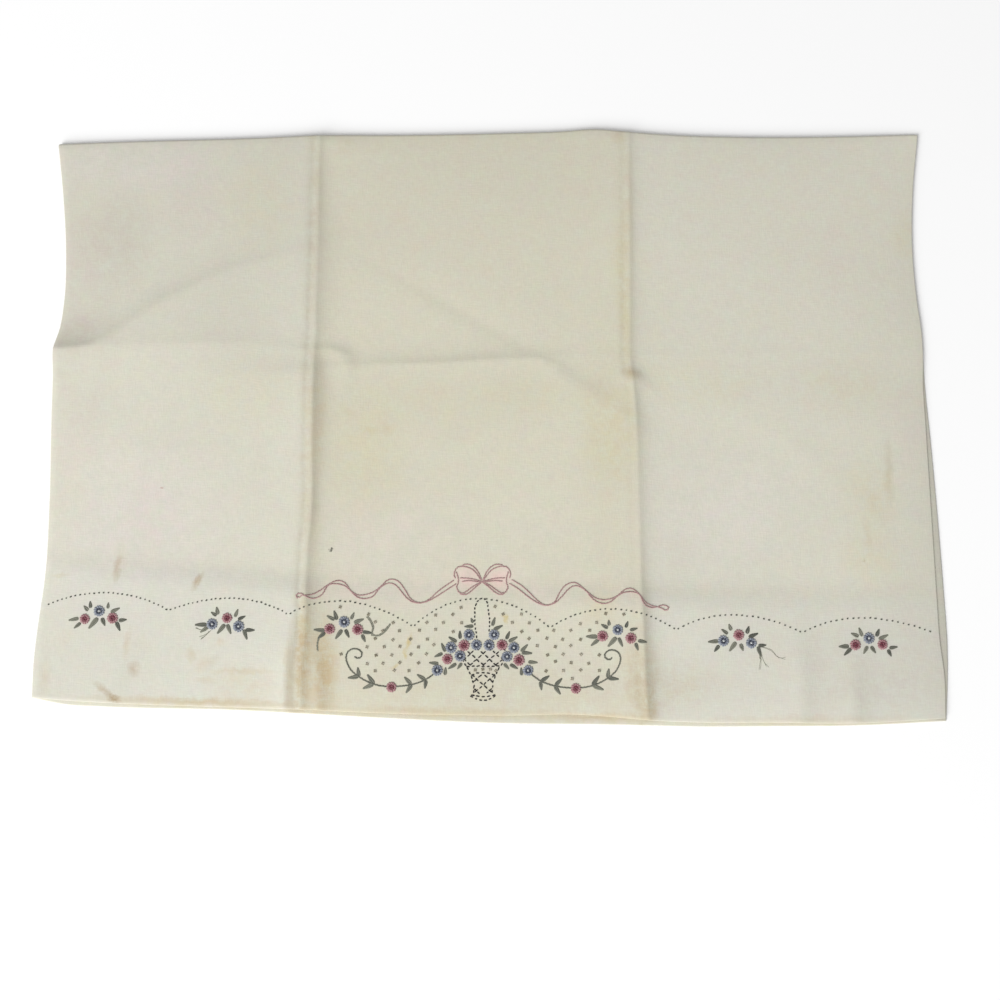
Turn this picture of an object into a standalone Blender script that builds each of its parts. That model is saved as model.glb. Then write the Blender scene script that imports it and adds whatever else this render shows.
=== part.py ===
"""A cotton pillowcase, folded once in half and laid flat with its hem half on top.

The case is one bag of cloth: a front and a back panel joined down both sides and across the
closed end, open at the hem. It is made flat as a five-sided box with a thin wall, then its
points are carried round the fold and on to the uneven outline, creases and soft troughs that
it lies in. +X runs along the hem, +Y from the hem to the fold, +Z up. The origin is on the
table under the middle of the whole.
"""

from typing import NamedTuple

import bmesh
import bpy
import numpy as np

MM = 0.001

# Driving sizes
WIDTH = 533 * MM  # of the case, along the hem
HALF_LENGTH = 349 * MM  # from the hem to where the cloth starts to turn over
CLOTH = 1.0 * MM  # one layer of cloth
AIR = 0.4 * MM  # between two layers

# The two long creases, as shares of the width
LONG_CREASES = (0.297, 0.670)
# The crease across the case, as a share of the half length
CROSS_CREASE = 0.612


class Lengthwise(NamedTuple):
    """A place on the lines that run from the hem to the fold: how far right of the origin each
    line is, in mm, at a share of the half length."""

    share: float
    left_edge: float
    left_crease: float
    right_crease: float
    right_edge: float
    under_shift: float  # how far the under half lies to the right of the upper one


LENGTHWISE = (
    Lengthwise(0.000, -268.6, -111.6, 93.8, 264.4, 1.6),
    Lengthwise(0.066, -268.4, -112.1, 92.6, 263.1, 4.8),
    Lengthwise(0.126, -266.8, -112.0, 91.8, 260.8, 7.9),
    Lengthwise(0.200, -264.2, -110.7, 90.8, 260.2, 7.8),
    Lengthwise(0.330, -263.4, -106.8, 89.6, 260.0, 6.3),
    Lengthwise(0.480, -264.3, -107.7, 87.5, 259.3, 4.4),
    Lengthwise(0.560, -264.4, -108.4, 84.9, 259.2, 2.6),
    Lengthwise(0.612, -264.6, -107.4, 82.9, 260.2, 1.2),
    Lengthwise(0.650, -261.8, -106.5, 83.0, 259.8, 0.2),
    Lengthwise(0.700, -260.1, -106.5, 83.6, 258.3, -0.3),
    Lengthwise(0.800, -260.5, -106.5, 84.6, 257.6, -0.4),
    Lengthwise(0.900, -263.5, -106.4, 84.7, 259.4, -0.2),
    Lengthwise(1.000, -267.9, -106.4, 84.5, 263.8, 0.0),
)


class Crosswise(NamedTuple):
    """A place on the lines that run across the case: how far beyond the origin each line is,
    in mm, at a share of the width."""

    share: float
    hem: float
    cross_crease: float
    fold: float
    closed_end: float  # of the under half


CROSSWISE = (
    Crosswise(0.000, -166.0, 43.9, 173.1, -166.4),
    Crosswise(0.035, -167.6, 43.9, 173.9, -170.0),
    Crosswise(0.075, -168.9, 43.9, 174.7, -171.2),
    Crosswise(0.230, -171.8, 44.3, 177.2, -173.4),
    Crosswise(0.297, -173.0, 40.2, 178.8, -175.2),
    Crosswise(0.390, -175.2, 36.7, 178.9, -178.0),
    Crosswise(0.520, -176.4, 38.9, 180.2, -181.0),
    Crosswise(0.590, -175.9, 38.5, 181.4, -181.4),
    Crosswise(0.630, -177.4, 38.4, 182.8, -181.7),
    Crosswise(0.660, -178.9, 38.4, 181.6, -182.1),
    Crosswise(0.720, -180.4, 38.4, 179.1, -182.8),
    Crosswise(0.800, -180.5, 38.8, 177.7, -182.6),
    Crosswise(0.900, -180.9, 39.7, 177.9, -182.1),
    Crosswise(1.000, -178.0, 41.5, 179.5, -179.6),
)


class Trough(NamedTuple):
    """A soft straight trough or, where its rise is above zero, a ridge of the top layer, in mm."""

    start_x: float
    start_y: float
    end_x: float
    end_y: float
    start_rise: float
    end_rise: float
    half_width: float


TROUGHS = (
    Trough(-266, 48, -105, 100, -2.6, -0.6, 11),  # slants up from the left edge
    Trough(-262, 66, -120, 122, 1.0, 0.4, 12),  # the swell beyond it
    Trough(-52, 85, 60, 17, -0.6, -2.2, 8),  # slants down through the middle panel
    Trough(-92, 35, 26, 39, -1.6, -1.8, 7),  # along the cross crease
    Trough(52, 23, 88, 22, -1.4, -1.8, 5),  # a short pinch at the right crease
    Trough(186, -178, 184, -120, 1.2, 0.2, 9),  # two soft waves in the hem, on the right
    Trough(224, -178, 222, -128, 1.0, 0.2, 8),
    Trough(-224, -168, -206, -128, 1.4, 0.2, 12),  # and one on the left
)

END_FADE = 1.5  # half widths past a trough's end over which it fades out

LONG_CREASE_RISE = 2.2 * MM
LONG_CREASE_WIDTH = 4.5 * MM
CROSS_CREASE_RISE = 1.0 * MM
CROSS_CREASE_WIDTH = 5.0 * MM
LOFT = 2.6 * MM  # how far the top layer rides above a tightly pressed stack
LOFT_EASE = 22 * MM  # how far in from an edge the loft is mostly reached

# Worked out from the sizes above
BAG = 2 * CLOTH + AIR  # two panels with the air between them
TURN_RADIUS = (BAG + AIR) / 2  # of the bag's middle, where it turns over at the fold
TURN_LENGTH = np.pi * TURN_RADIUS
LENGTH = 2 * HALF_LENGTH + TURN_LENGTH
STACK = 2 * BAG + AIR  # all four layers
TURN_REACH = TURN_RADIUS + BAG / 2  # how far the fold stands out past the half length

# Where the flat bag is cut into facets
PLAIN_COLUMN = 21 * MM
PLAIN_ROW = 19 * MM
UNDER_ROW = 32 * MM
BESIDE_CREASE = (-9 * MM, -3.5 * MM, 0, 3.5 * MM, 9 * MM)
TURN_STEPS = 6
SAME_PLACE = 1e-7  # points closer than this to a cut lie on it
SHARP_EDGE = np.radians(40)  # steeper edges are shaded sharp


def column(table, name):
    """One column of a table."""
    return np.array([getattr(row, name) for row in table])


def through(table, name, at):
    """A smooth curve through a column of a table, read in metres at the given shares."""
    shares, values = column(table, "share"), column(table, name)
    slopes = np.gradient(values, shares)
    low = np.clip(np.searchsorted(shares, at) - 1, 0, len(shares) - 2)
    gap = shares[low + 1] - shares[low]
    t = np.clip((at - shares[low]) / gap, 0, 1)
    start = (1 + 2 * t) * (1 - t) ** 2 * values[low] + t * (1 - t) ** 2 * gap * slopes[low]
    end = t**2 * (3 - 2 * t) * values[low + 1] + t**2 * (t - 1) * gap * slopes[low + 1]
    return (start + end) * MM


def evenly(start, end, step):
    """Places from start to end, about a step apart, without the ends."""
    count = max(1, round(float(abs(end - start) / step)))
    return list(np.linspace(start, end, count + 1)[1:-1])


def column_cuts():
    """Where the bag is cut lengthwise: evenly in each panel, and closely at each long crease."""
    creases = [(share - 0.5) * WIDTH for share in LONG_CREASES]
    beside = [crease + offset for crease in creases for offset in BESIDE_CREASE]
    near, far = BESIDE_CREASE[0], BESIDE_CREASE[-1]
    panels = (
        (-WIDTH / 2, creases[0] + near),
        (creases[0] + far, creases[1] + near),
        (creases[1] + far, WIDTH / 2),
    )
    return sorted(beside + [x for panel in panels for x in evenly(*panel, PLAIN_COLUMN)])


def row_cuts():
    """Where the bag is cut across: evenly on each half, closely at the cross crease and fold."""
    crease = CROSS_CREASE * HALF_LENGTH
    beside = [crease + offset for offset in BESIDE_CREASE]
    upper = evenly(0, beside[0], PLAIN_ROW) + beside + evenly(beside[-1], HALF_LENGTH, PLAIN_ROW)
    turn = list(np.linspace(HALF_LENGTH, HALF_LENGTH + TURN_LENGTH, TURN_STEPS + 1))
    return upper + turn + evenly(HALF_LENGTH + TURN_LENGTH, LENGTH, UNDER_ROW)


def flat_bag():
    """The case laid out flat before it is folded: X across, Y from hem to closed end, Z up
    towards the front panel. It is a box with no face at the hem, given a wall by Solidify."""
    bm = bmesh.new()
    bmesh.ops.create_cube(bm, size=1)
    bmesh.ops.scale(bm, vec=(WIDTH, LENGTH, BAG), verts=bm.verts)
    bmesh.ops.translate(bm, vec=(0, LENGTH / 2, 0), verts=bm.verts)
    cuts = [((x, 0, 0), (1, 0, 0)) for x in column_cuts()]
    cuts += [((0, y, 0), (0, 1, 0)) for y in row_cuts()]
    for point, normal in cuts:
        every = [*bm.verts, *bm.edges, *bm.faces]
        bmesh.ops.bisect_plane(bm, geom=every, plane_co=point, plane_no=normal, dist=SAME_PLACE)
    mouth = [face for face in bm.faces if face.normal.y < -0.5]
    bmesh.ops.delete(bm, geom=mouth, context="FACES")
    mesh = bpy.data.meshes.new("pillowcase")
    bm.to_mesh(mesh)
    bm.free()

    bag = bpy.data.objects.new("pillowcase", mesh)
    bpy.context.scene.collection.objects.link(bag)
    wall = bag.modifiers.new("cloth", "SOLIDIFY")
    wall.thickness = CLOTH
    wall.offset = -1
    wall.use_even_offset = True
    bpy.context.view_layer.update()
    solid = bpy.data.meshes.new_from_object(bag.evaluated_get(bpy.context.evaluated_depsgraph_get()))
    bpy.data.objects.remove(bag)
    bpy.data.meshes.remove(mesh)
    return solid


def between_lines(share, knots, lines):
    """The place at a share of the way across a row of lines: straight between each two."""
    low = np.clip(np.searchsorted(knots, share) - 1, 0, len(knots) - 2)
    t = (share - np.take(knots, low)) / (np.take(knots, low + 1) - np.take(knots, low))
    lines = np.array(lines)
    every = np.arange(lines.shape[1])
    return lines[low, every] * (1 - t) + lines[low + 1, every] * t


def bump(distance, width):
    """A smooth ridge, 1 high on its line."""
    return np.exp(-((distance / width) ** 2))


def trough_heights(x, y):
    """The height that the table of troughs gives at each place, with both ends fading out."""
    total = np.zeros_like(x)
    for trough in TROUGHS:
        x0, y0, x1, y1, rise0, rise1, half = np.array(trough) * MM
        run = np.hypot(x1 - x0, y1 - y0)
        along = ((x - x0) * (x1 - x0) + (y - y0) * (y1 - y0)) / run
        aside = ((x - x0) * (y1 - y0) - (y - y0) * (x1 - x0)) / run
        t = np.clip(along / run, 0, 1)
        past = np.maximum(0, np.maximum(-along, along - run))
        total += (rise0 * (1 - t) + rise1 * t) * bump(aside, half) * bump(past, END_FADE * half)
    return total


def relief(across, up, x, y):
    """How far the top layer stands above the pressed stack, at shares across and up the case."""
    from_side = np.minimum(across, 1 - across) * WIDTH
    from_end = np.minimum(up, 1 - up) * HALF_LENGTH
    ease = (1 - np.exp(-from_side / LOFT_EASE)) * (1 - np.exp(-from_end / LOFT_EASE))
    long_creases = [bump((across - share) * WIDTH, LONG_CREASE_WIDTH) for share in LONG_CREASES]
    cross = bump((up - CROSS_CREASE) * HALF_LENGTH, CROSS_CREASE_WIDTH)
    height = LOFT * ease + LONG_CREASE_RISE * sum(long_creases) + CROSS_CREASE_RISE * cross
    return np.maximum(0, height + trough_heights(x, y))


def lay_out(points):
    """Carries the flat bag's points round the fold and on to the outline and relief."""
    flat_x, along, out = points.T
    turned = np.clip((along - HALF_LENGTH) / TURN_LENGTH, 0, 1)
    under = turned * np.pi > np.pi / 2
    up = np.clip(np.where(under, LENGTH - along, along) / HALF_LENGTH, 0, 1)
    across = flat_x / WIDTH + 0.5

    names = ("left_edge", "left_crease", "right_crease", "right_edge")
    lines = [through(LENGTHWISE, name, up) for name in names]
    shift = np.where(under, through(LENGTHWISE, "under_shift", up), 0)
    x = between_lines(across, [0, *LONG_CREASES, 1], lines) + shift

    start = through(CROSSWISE, "fold", across) - TURN_REACH
    lines = [through(CROSSWISE, "hem", across), through(CROSSWISE, "cross_crease", across), start]
    upper_y = between_lines(up, [0, CROSS_CREASE, 1], lines)
    under_y = through(CROSSWISE, "closed_end", across) * (1 - up) + start * up
    angle = turned * np.pi
    y = np.where(under, under_y, upper_y) + (TURN_RADIUS + out) * np.sin(angle)

    # Every layer takes its share of the lift of the top layer that lies straight above it
    z = STACK / 2 + (TURN_RADIUS + out) * np.cos(angle)
    across_top = np.clip(across + shift / WIDTH, 0, 1)
    z += relief(across_top, up, x, y) * z / STACK
    return np.stack([x, y, z], axis=1)


def cotton():
    """Aged cream cotton."""
    material = bpy.data.materials.new("cotton")
    material.use_nodes = True
    shader = material.node_tree.nodes["Principled BSDF"]
    shader.inputs["Base Color"].default_value = (0.64, 0.61, 0.51, 1)
    shader.inputs["Roughness"].default_value = 0.9
    shader.inputs["Metallic"].default_value = 0
    return material


def make_pillowcase():
    """The whole pillowcase, one node, centred over the origin with its underside on the table."""
    mesh = flat_bag()
    mesh.name = "pillowcase"
    points = np.empty(len(mesh.vertices) * 3)
    mesh.vertices.foreach_get("co", points)
    laid = lay_out(points.reshape(-1, 3))
    middle = (laid.min(axis=0) + laid.max(axis=0)) / 2
    laid -= (middle[0], middle[1], laid[:, 2].min())
    mesh.vertices.foreach_set("co", laid.ravel())
    mesh.update()
    mesh.materials.clear()
    mesh.materials.append(cotton())
    mesh.shade_smooth()
    mesh.set_sharp_from_angle(angle=SHARP_EDGE)
    case = bpy.data.objects.new("pillowcase", mesh)
    collection = bpy.data.collections.new("folded_pillowcase")
    bpy.context.scene.collection.children.link(collection)
    collection.objects.link(case)


def clear_scene():
    """Takes away whatever the scene holds at the start."""
    for thing in list(bpy.data.objects):
        bpy.data.objects.remove(thing)


clear_scene()
make_pillowcase()
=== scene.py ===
"""A cotton pillowcase, folded once in half and lying flat, with an embroidered band along its hem.

The case is one thin sheet of cloth, closed at one end and turned up inside at the other as its
hem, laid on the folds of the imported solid. All sizes are real ones in metres, or in millimetres
where a table says so. +X runs along the hem, +Y from the hem to the fold, +Z up.
"""

from typing import NamedTuple

import bpy
import numpy as np
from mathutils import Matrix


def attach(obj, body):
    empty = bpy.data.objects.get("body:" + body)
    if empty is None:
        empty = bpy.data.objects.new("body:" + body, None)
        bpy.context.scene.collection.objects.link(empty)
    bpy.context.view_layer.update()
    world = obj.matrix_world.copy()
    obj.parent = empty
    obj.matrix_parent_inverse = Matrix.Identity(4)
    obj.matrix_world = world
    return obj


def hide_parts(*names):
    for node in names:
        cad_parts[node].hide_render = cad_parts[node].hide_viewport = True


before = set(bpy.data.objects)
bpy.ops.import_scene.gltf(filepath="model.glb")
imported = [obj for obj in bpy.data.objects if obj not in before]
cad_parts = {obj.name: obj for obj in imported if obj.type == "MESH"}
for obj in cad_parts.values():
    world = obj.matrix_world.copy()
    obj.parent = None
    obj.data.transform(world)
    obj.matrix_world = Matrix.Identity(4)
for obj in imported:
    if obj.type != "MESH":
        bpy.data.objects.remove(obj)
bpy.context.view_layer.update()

MM = 0.001
hand = np.random.default_rng(14)  # the unevenness of handwork

# ---- The case ----

# As it was sewn
WIDTH = 533 * MM  # along the hem
HALF_LENGTH = 349 * MM  # from the hem to where the cloth starts to turn over
CLOTH = 0.45 * MM
AIR = 0.3 * MM  # between the front and the back panel
TURN_RADIUS = 1.0 * MM  # of the middle of the case, where it turns over at the fold
CENTRE = (0.12 * MM, 0.15 * MM)  # where the middle of the whole lies, read in the tables below

# The creases, as shares of the width and of the half length
LONG_CREASES = (0.297, 0.670)
CROSS_CREASE = 0.612


class Lengthwise(NamedTuple):
    """A place on the lines that run from the hem to the fold: how far right of the origin each
    line is, in mm, at a share of the half length."""

    share: float
    left_edge: float
    left_crease: float
    right_crease: float
    right_edge: float
    under_shift: float  # how far the under half lies to the right of the upper one


LENGTHWISE = (
    Lengthwise(0.000, -268.6, -111.6, 93.8, 265.4, 0.6),
    Lengthwise(0.066, -268.4, -112.1, 92.6, 265.9, 2.0),
    Lengthwise(0.126, -266.8, -112.0, 91.8, 264.0, 4.7),
    Lengthwise(0.200, -264.2, -110.7, 90.8, 263.3, 4.7),
    Lengthwise(0.330, -263.4, -106.8, 89.6, 262.3, 4.0),
    Lengthwise(0.480, -264.3, -107.7, 87.5, 261.2, 2.5),
    Lengthwise(0.560, -264.4, -108.4, 84.9, 260.7, 1.3),
    Lengthwise(0.612, -264.6, -107.4, 82.9, 261.4, 0.3),
    Lengthwise(0.650, -261.8, -106.5, 83.0, 261.0, -0.3),
    Lengthwise(0.700, -260.1, -106.5, 83.6, 259.2, -0.5),
    Lengthwise(0.800, -260.5, -106.5, 84.6, 257.6, -0.4),
    Lengthwise(0.900, -263.5, -106.4, 84.7, 259.4, -0.2),
    Lengthwise(1.000, -267.9, -106.4, 84.5, 263.8, 0.0),
)


class Crosswise(NamedTuple):
    """A place on the lines that run across the case: how far beyond the origin each line is,
    in mm, at a share of the width."""

    share: float
    hem: float
    cross_crease: float
    fold: float
    closed_end: float  # of the under half
    hem_depth: float  # of the cloth turned up inside


CROSSWISE = (
    Crosswise(0.000, -166.0, 43.9, 173.1, -166.4, 80),
    Crosswise(0.035, -167.6, 43.9, 173.9, -170.0, 81),
    Crosswise(0.075, -168.9, 43.9, 174.7, -171.2, 80),
    Crosswise(0.230, -171.8, 44.3, 177.2, -173.4, 75),
    Crosswise(0.297, -173.0, 40.2, 178.8, -175.2, 73),
    Crosswise(0.390, -175.2, 36.7, 178.9, -178.0, 72),
    Crosswise(0.520, -176.4, 38.9, 180.2, -181.0, 72),
    Crosswise(0.590, -175.9, 38.5, 181.4, -181.4, 71),
    Crosswise(0.630, -177.4, 38.4, 182.8, -181.7, 71),
    Crosswise(0.660, -178.9, 38.4, 181.6, -182.1, 72),
    Crosswise(0.720, -180.4, 38.4, 179.1, -182.8, 72),
    Crosswise(0.800, -180.5, 38.8, 177.7, -182.6, 71),
    Crosswise(0.900, -180.9, 39.7, 177.9, -182.1, 70),
    Crosswise(1.000, -178.0, 41.5, 179.5, -179.6, 70),
)


class Crease(NamedTuple):
    """A pressed crease at one share of its length: how high it stands, how far it reaches to its
    near side (left or down) and its far side (right or up), how far aside of its line it runs, and
    how deep a groove runs along its near side, all in mm; and how much darker a band along its near
    side is there."""

    share: float
    rise: float
    near_reach: float
    far_reach: float
    wander: float
    groove: float
    band_darkening: float


LEFT_CREASE = (
    Crease(0.00, 1.5, 26, 5.5, 0.6, 0.12, 1.6),
    Crease(0.07, 1.9, 28, 6.0, 1.0, 0.18, 1.6),
    Crease(0.13, 1.9, 30, 5.0, 2.8, 0.26, 1.2),
    Crease(0.20, 2.1, 32, 4.4, 1.4, 0.24, 0.9),
    Crease(0.28, 2.2, 36, 4.2, -0.3, 0.26, 1.1),
    Crease(0.35, 2.2, 36, 3.2, 0.0, 0.20, 1.0),
    Crease(0.42, 2.8, 36, 5.0, 0.0, 0.18, 1.1),
    Crease(0.49, 3.4, 36, 6.5, 0.5, 0.18, 1.0),
    Crease(0.56, 2.9, 32, 5.0, 1.2, 0.16, 1.0),
    Crease(0.61, 1.6, 26, 3.6, 0.6, 0.20, 0.9),
    Crease(0.67, 1.9, 30, 5.0, 0.0, 0.24, 0.9),
    Crease(0.78, 1.8, 36, 5.5, 0.5, 0.20, 1.0),
    Crease(0.91, 1.4, 32, 3.4, 0.0, 0.16, 1.0),
    Crease(1.00, 0.8, 26, 3.0, 0.0, 0.10, 0.9),
)
RIGHT_CREASE = (
    Crease(0.00, 1.7, 30, 4.2, -2.6, 0.05, 1.0),
    Crease(0.07, 2.2, 30, 4.6, -2.9, 0.06, 0.6),
    Crease(0.15, 2.0, 34, 4.0, -2.9, 0.06, 0.3),
    Crease(0.26, 1.7, 36, 3.8, -2.6, 0.06, 0.3),
    Crease(0.34, 1.7, 36, 5.5, -2.3, 0.05, 0.3),
    Crease(0.44, 1.6, 36, 4.6, -1.6, 0.05, 0.3),
    Crease(0.53, 1.9, 34, 3.8, -0.4, 0.06, 0.4),
    Crease(0.60, 1.2, 26, 2.8, 0.0, 0.12, 0.8),
    Crease(0.67, 1.3, 30, 3.0, 0.0, 0.14, 0.8),
    Crease(0.78, 1.3, 34, 3.2, -0.8, 0.10, 0.7),
    Crease(0.91, 1.1, 30, 2.8, -0.6, 0.08, 0.6),
    Crease(1.00, 0.7, 26, 2.6, 0.0, 0.05, 0.6),
)
CROSS = (
    Crease(0.00, 0.30, 22, 5.0, 0.0, 0, 0),
    Crease(0.20, 0.30, 22, 5.0, 0.4, 0, 0),
    Crease(0.29, 0.15, 22, 4.0, 0.0, 0, 0),
    Crease(0.34, 0.05, 22, 4.0, 0.3, 0, 0),
    Crease(0.54, 0.05, 22, 4.0, 0.5, 0, 0),
    Crease(0.60, 0.15, 22, 3.0, 0.2, 0, 0),
    Crease(0.66, 0.15, 22, 3.0, 0.0, 0, 0),
    Crease(0.85, 0.10, 22, 4.0, 0.3, 0, 0),
    Crease(1.00, 0.15, 22, 4.0, 0.0, 0, 0),
)
CREST = 0.9 * MM  # how far the top of a crease is rounded
GROOVE_PLACE = 3.8 * MM  # from the line of a crease to the groove beside it
GROOVE_WIDTH = 1.6 * MM
CREASE_BAND_PLACE = 3.6 * MM  # to the middle of the darker band along its near side
CREASE_BAND_WIDTH = 3.6 * MM


class Wrinkle(NamedTuple):
    """A soft ridge of the top layer, or a trough where it is negative, along a smooth line
    through a few places, in mm. The slope on the right of its direction has the first reach, and
    the slope on its left the second."""

    places: tuple
    rises: tuple  # at the start, in the middle and at the end
    right_reach: float
    left_reach: float


WRINKLES = (
    # Slants up from the left edge
    Wrinkle(((-264, 42), (-252, 42.5), (-242, 44), (-228, 51.5), (-207, 66), (-186, 78), (-159, 91),
             (-127, 100)), (3.2, 2.3, 0.5), 36, 7.0),
    # Lies across the middle panel and bends down to the right crease
    Wrinkle(((-98, 30), (-73, 32), (-43, 32.5), (-13, 34), (15, 35.5), (31, 35), (43, 26), (60, 14)),
            (0.6, 1.4, 0.6), 34, 4.4),
    # A faint trough that slants down to it
    Wrinkle(((-74, 97), (-43, 80), (-24, 68.5), (0, 55), (16, 46)), (-0.1, -0.45, -0.35), 3.6, 10),
    # The corner folded under at the crossing of the creases
    Wrinkle(((-103, 41.5), (-96, 41.5), (-89, 38), (-86, 30), (-87, 24)), (0.5, 1.0, 0.5), 12, 2.6),
    # Short pinches at the right crease
    Wrinkle(((75, 24), (81, 24), (87, 24)), (0.1, 0.8, 0.6), 2.0, 2.0),
    Wrinkle(((84, 18), (78, 12), (69, 3)), (0.7, 0.5, 0.1), 8.0, 3.0),
    Wrinkle(((90, 22), (95, 18), (99, 13)), (0.3, 0.5, 0.1), 6.0, 2.6),
    # Soft waves in the hem, on the right and on the left
    Wrinkle(((180, -180), (182, -160), (180, -138), (178, -118)), (1.3, 0.9, 0.1), 7, 16),
    Wrinkle(((212, -179), (212, -155), (213, -130)), (1.2, 0.8, 0.1), 6, 15),
    Wrinkle(((-224, -168), (-216, -150), (-206, -128)), (1.0, 0.6, 0.1), 8, 14),
    # Small pleats where the left crease meets the hem's edge
    Wrinkle(((-121, -176), (-120, -150), (-117, -120)), (1.0, 0.8, 0.1), 2.4, 9.0),
    Wrinkle(((-100, -176), (-101, -152), (-104, -134)), (0.9, 0.6, 0.1), 2.4, 6.0),
    # A tuck at the fold beside the left crease
    Wrinkle(((-104, 176), (-92, 174), (-76, 171)), (0.6, 0.5, 0.1), 8.0, 3.0),
    # Low swells of the left and the right panel
    Wrinkle(((-255, -30), (-210, -18), (-160, -22)), (0.1, 0.35, 0.1), 14, 9),
    Wrinkle(((140, 10), (185, -20), (225, -60)), (0.1, 0.35, 0.1), 16, 9),
)

LOFT = 3.4 * MM  # how far the top layer rides above a tightly pressed stack
LOFT_EASE = 42 * MM  # how far in from an edge the loft is mostly reached
SINK = 1.3 * MM  # how far the stack is pressed together at its right edge
SINK_REACH = 22 * MM
HEM_EDGE = 17 * MM  # over which the hem's turned-up cloth starts to lift the front

# Worked out from the sizes above
BAG = 2 * CLOTH + AIR
STACK = 2 * TURN_RADIUS + BAG  # all four layers
TURN_LENGTH = np.pi * TURN_RADIUS
LENGTH = 2 * HALF_LENGTH + TURN_LENGTH
TURN_REACH = TURN_RADIUS + BAG / 2  # how far the fold stands out past the half length

# How finely the cloth is laid out in facets
PLAIN_COLUMN = 3.9 * MM
PLAIN_ROW = 3.9 * MM
UNDER_ROW = 13 * MM
TURN_ROWS = 8  # round the fold
FIRST_ROW = 2 * MM  # from the edge of the mouth
LAST_ROW = 4 * MM  # from the closed end
DENSITY_SAMPLES = 6000


class Finer(NamedTuple):
    """Where facets are finer: the place, the step there and how far that spreads to each side."""

    place: float
    step: float
    spread: float


FINE_COLUMNS = (
    Finer((LONG_CREASES[0] - 0.5) * WIDTH, 0.75 * MM, 8 * MM),
    Finer((LONG_CREASES[1] - 0.5) * WIDTH, 0.75 * MM, 8 * MM),
    Finer(-195 * MM, 2.7 * MM, 60 * MM),
)
FINE_ROWS = (
    Finer(0.0, 1.5 * MM, 6 * MM),
    Finer(CROSS_CREASE * HALF_LENGTH, 1.3 * MM, 9 * MM),
    Finer(245 * MM, 2.4 * MM, 40 * MM),
)
BACK_EVERY = 3  # the back panel has one column for so many of the front's
INNER_EVERY = 2  # the inner face has one row for so many of the outer one's
ROUNDED = np.radians((0, 30, 60, 90))  # steps round an edge where the cloth doubles back


def column(table, name):
    """One column of a table."""
    return np.array([getattr(row, name) for row in table], float)


def through(shares, values, at):
    """A smooth curve through values that stand at rising shares: between each two, a cubic whose
    slopes at its ends are the slopes of the neighbours."""
    slopes = np.gradient(values, shares)
    low = np.clip(np.searchsorted(shares, at) - 1, 0, len(shares) - 2)
    gap = shares[low + 1] - shares[low]
    t = np.clip((at - shares[low]) / gap, 0, 1)
    start = (1 + 2 * t) * (1 - t) ** 2 * values[low] + t * (1 - t) ** 2 * gap * slopes[low]
    end = t**2 * (3 - 2 * t) * values[low + 1] + t**2 * (t - 1) * gap * slopes[low + 1]
    return start + end


def read(table, name, at):
    """A column of a table in metres, smoothly between its rows, at the given shares."""
    return through(column(table, "share"), column(table, name) * MM, at)


def lengthwise_lines(up):
    """The left edge, the two long creases and the right edge, at shares up the case."""
    names = ("left_edge", "left_crease", "right_crease", "right_edge")
    return np.array([read(LENGTHWISE, name, up) for name in names]) - CENTRE[0]


def crosswise_lines(across):
    """The hem, the cross crease and the start of the turn at the fold, at shares across."""
    names = ("hem", "cross_crease", "fold")
    lines = np.array([read(CROSSWISE, name, across) for name in names]) - CENTRE[1]
    lines[2] -= TURN_REACH
    return lines


LENGTHWISE_KNOTS = np.array([0, *LONG_CREASES, 1])
CROSSWISE_KNOTS = np.array([0, CROSS_CREASE, 1])


def between_lines(share, knots, lines):
    """The place at a share of the way across a row of lines: straight between each two."""
    low = np.clip(np.searchsorted(knots, share) - 1, 0, len(knots) - 2)
    t = (share - knots[low]) / (knots[low + 1] - knots[low])
    every = np.arange(lines.shape[1])
    return lines[low, every] * (1 - t) + lines[low + 1, every] * t


def share_between(place, knots, lines):
    """The share at which a place lies across a row of lines: the reverse of between_lines."""
    low = np.clip((place >= lines).sum(axis=0) - 1, 0, len(knots) - 2)
    every = np.arange(lines.shape[1])
    t = (place - lines[low, every]) / (lines[low + 1, every] - lines[low, every])
    return np.clip(knots[low] + t * (knots[low + 1] - knots[low]), 0, 1)


TRIES = 5


def shares_at(x, y):
    """The shares across and up the case of places on the top layer, by trying each in turn with
    the other held."""
    up = np.full_like(x, 0.5)
    for _ in range(TRIES):
        across = share_between(x, LENGTHWISE_KNOTS, lengthwise_lines(up))
        up = share_between(y, CROSSWISE_KNOTS, crosswise_lines(across))
    return across, up


def smooth_step(t):
    """0 below 0, 1 above 1 and an even S between."""
    t = np.clip(t, 0, 1)
    return t * t * (3 - 2 * t)


def bell(away, reach):
    """1 in the middle and nearly nothing two reaches away: the exponential of less the square."""
    return np.exp(-((away / reach) ** 2))


def so_far(steps):
    """The sum of all steps before each place, from 0 at the first."""
    return np.concatenate([[0], np.cumsum(steps)])


def left_of(run):
    """The directions to the left of runs, each one long: the run turned and divided by its
    length."""
    length = np.linalg.norm(run, axis=-1, keepdims=True)
    return np.stack([-run[..., 1], run[..., 0]], axis=-1) / length


def turned_by(degrees):
    """The matrix that turns a place about the origin, anticlockwise."""
    angle = np.radians(degrees)
    return np.array(((np.cos(angle), -np.sin(angle)), (np.sin(angle), np.cos(angle))))


def ridge(aside, far_reach, near_reach):
    """A ridge 1 high on its line that falls away exponentially, with its own reach on each side
    and a crest rounded to a hyperbola."""
    reach = np.where(aside > 0, far_reach, near_reach)
    return np.exp(-(np.hypot(aside, CREST) - CREST) / reach)


def crease_height(table, share, aside):
    """The height of a pressed crease at shares along it and distances aside of it, less a bell
    for the groove beside it."""
    names = ("rise", "near_reach", "far_reach", "wander", "groove")
    rise, near, far, wander, groove = (read(table, name, share) for name in names)
    aside = aside - wander
    return rise * ridge(aside, far, near) - groove * bell(aside + GROOVE_PLACE, GROOVE_WIDTH)


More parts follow.
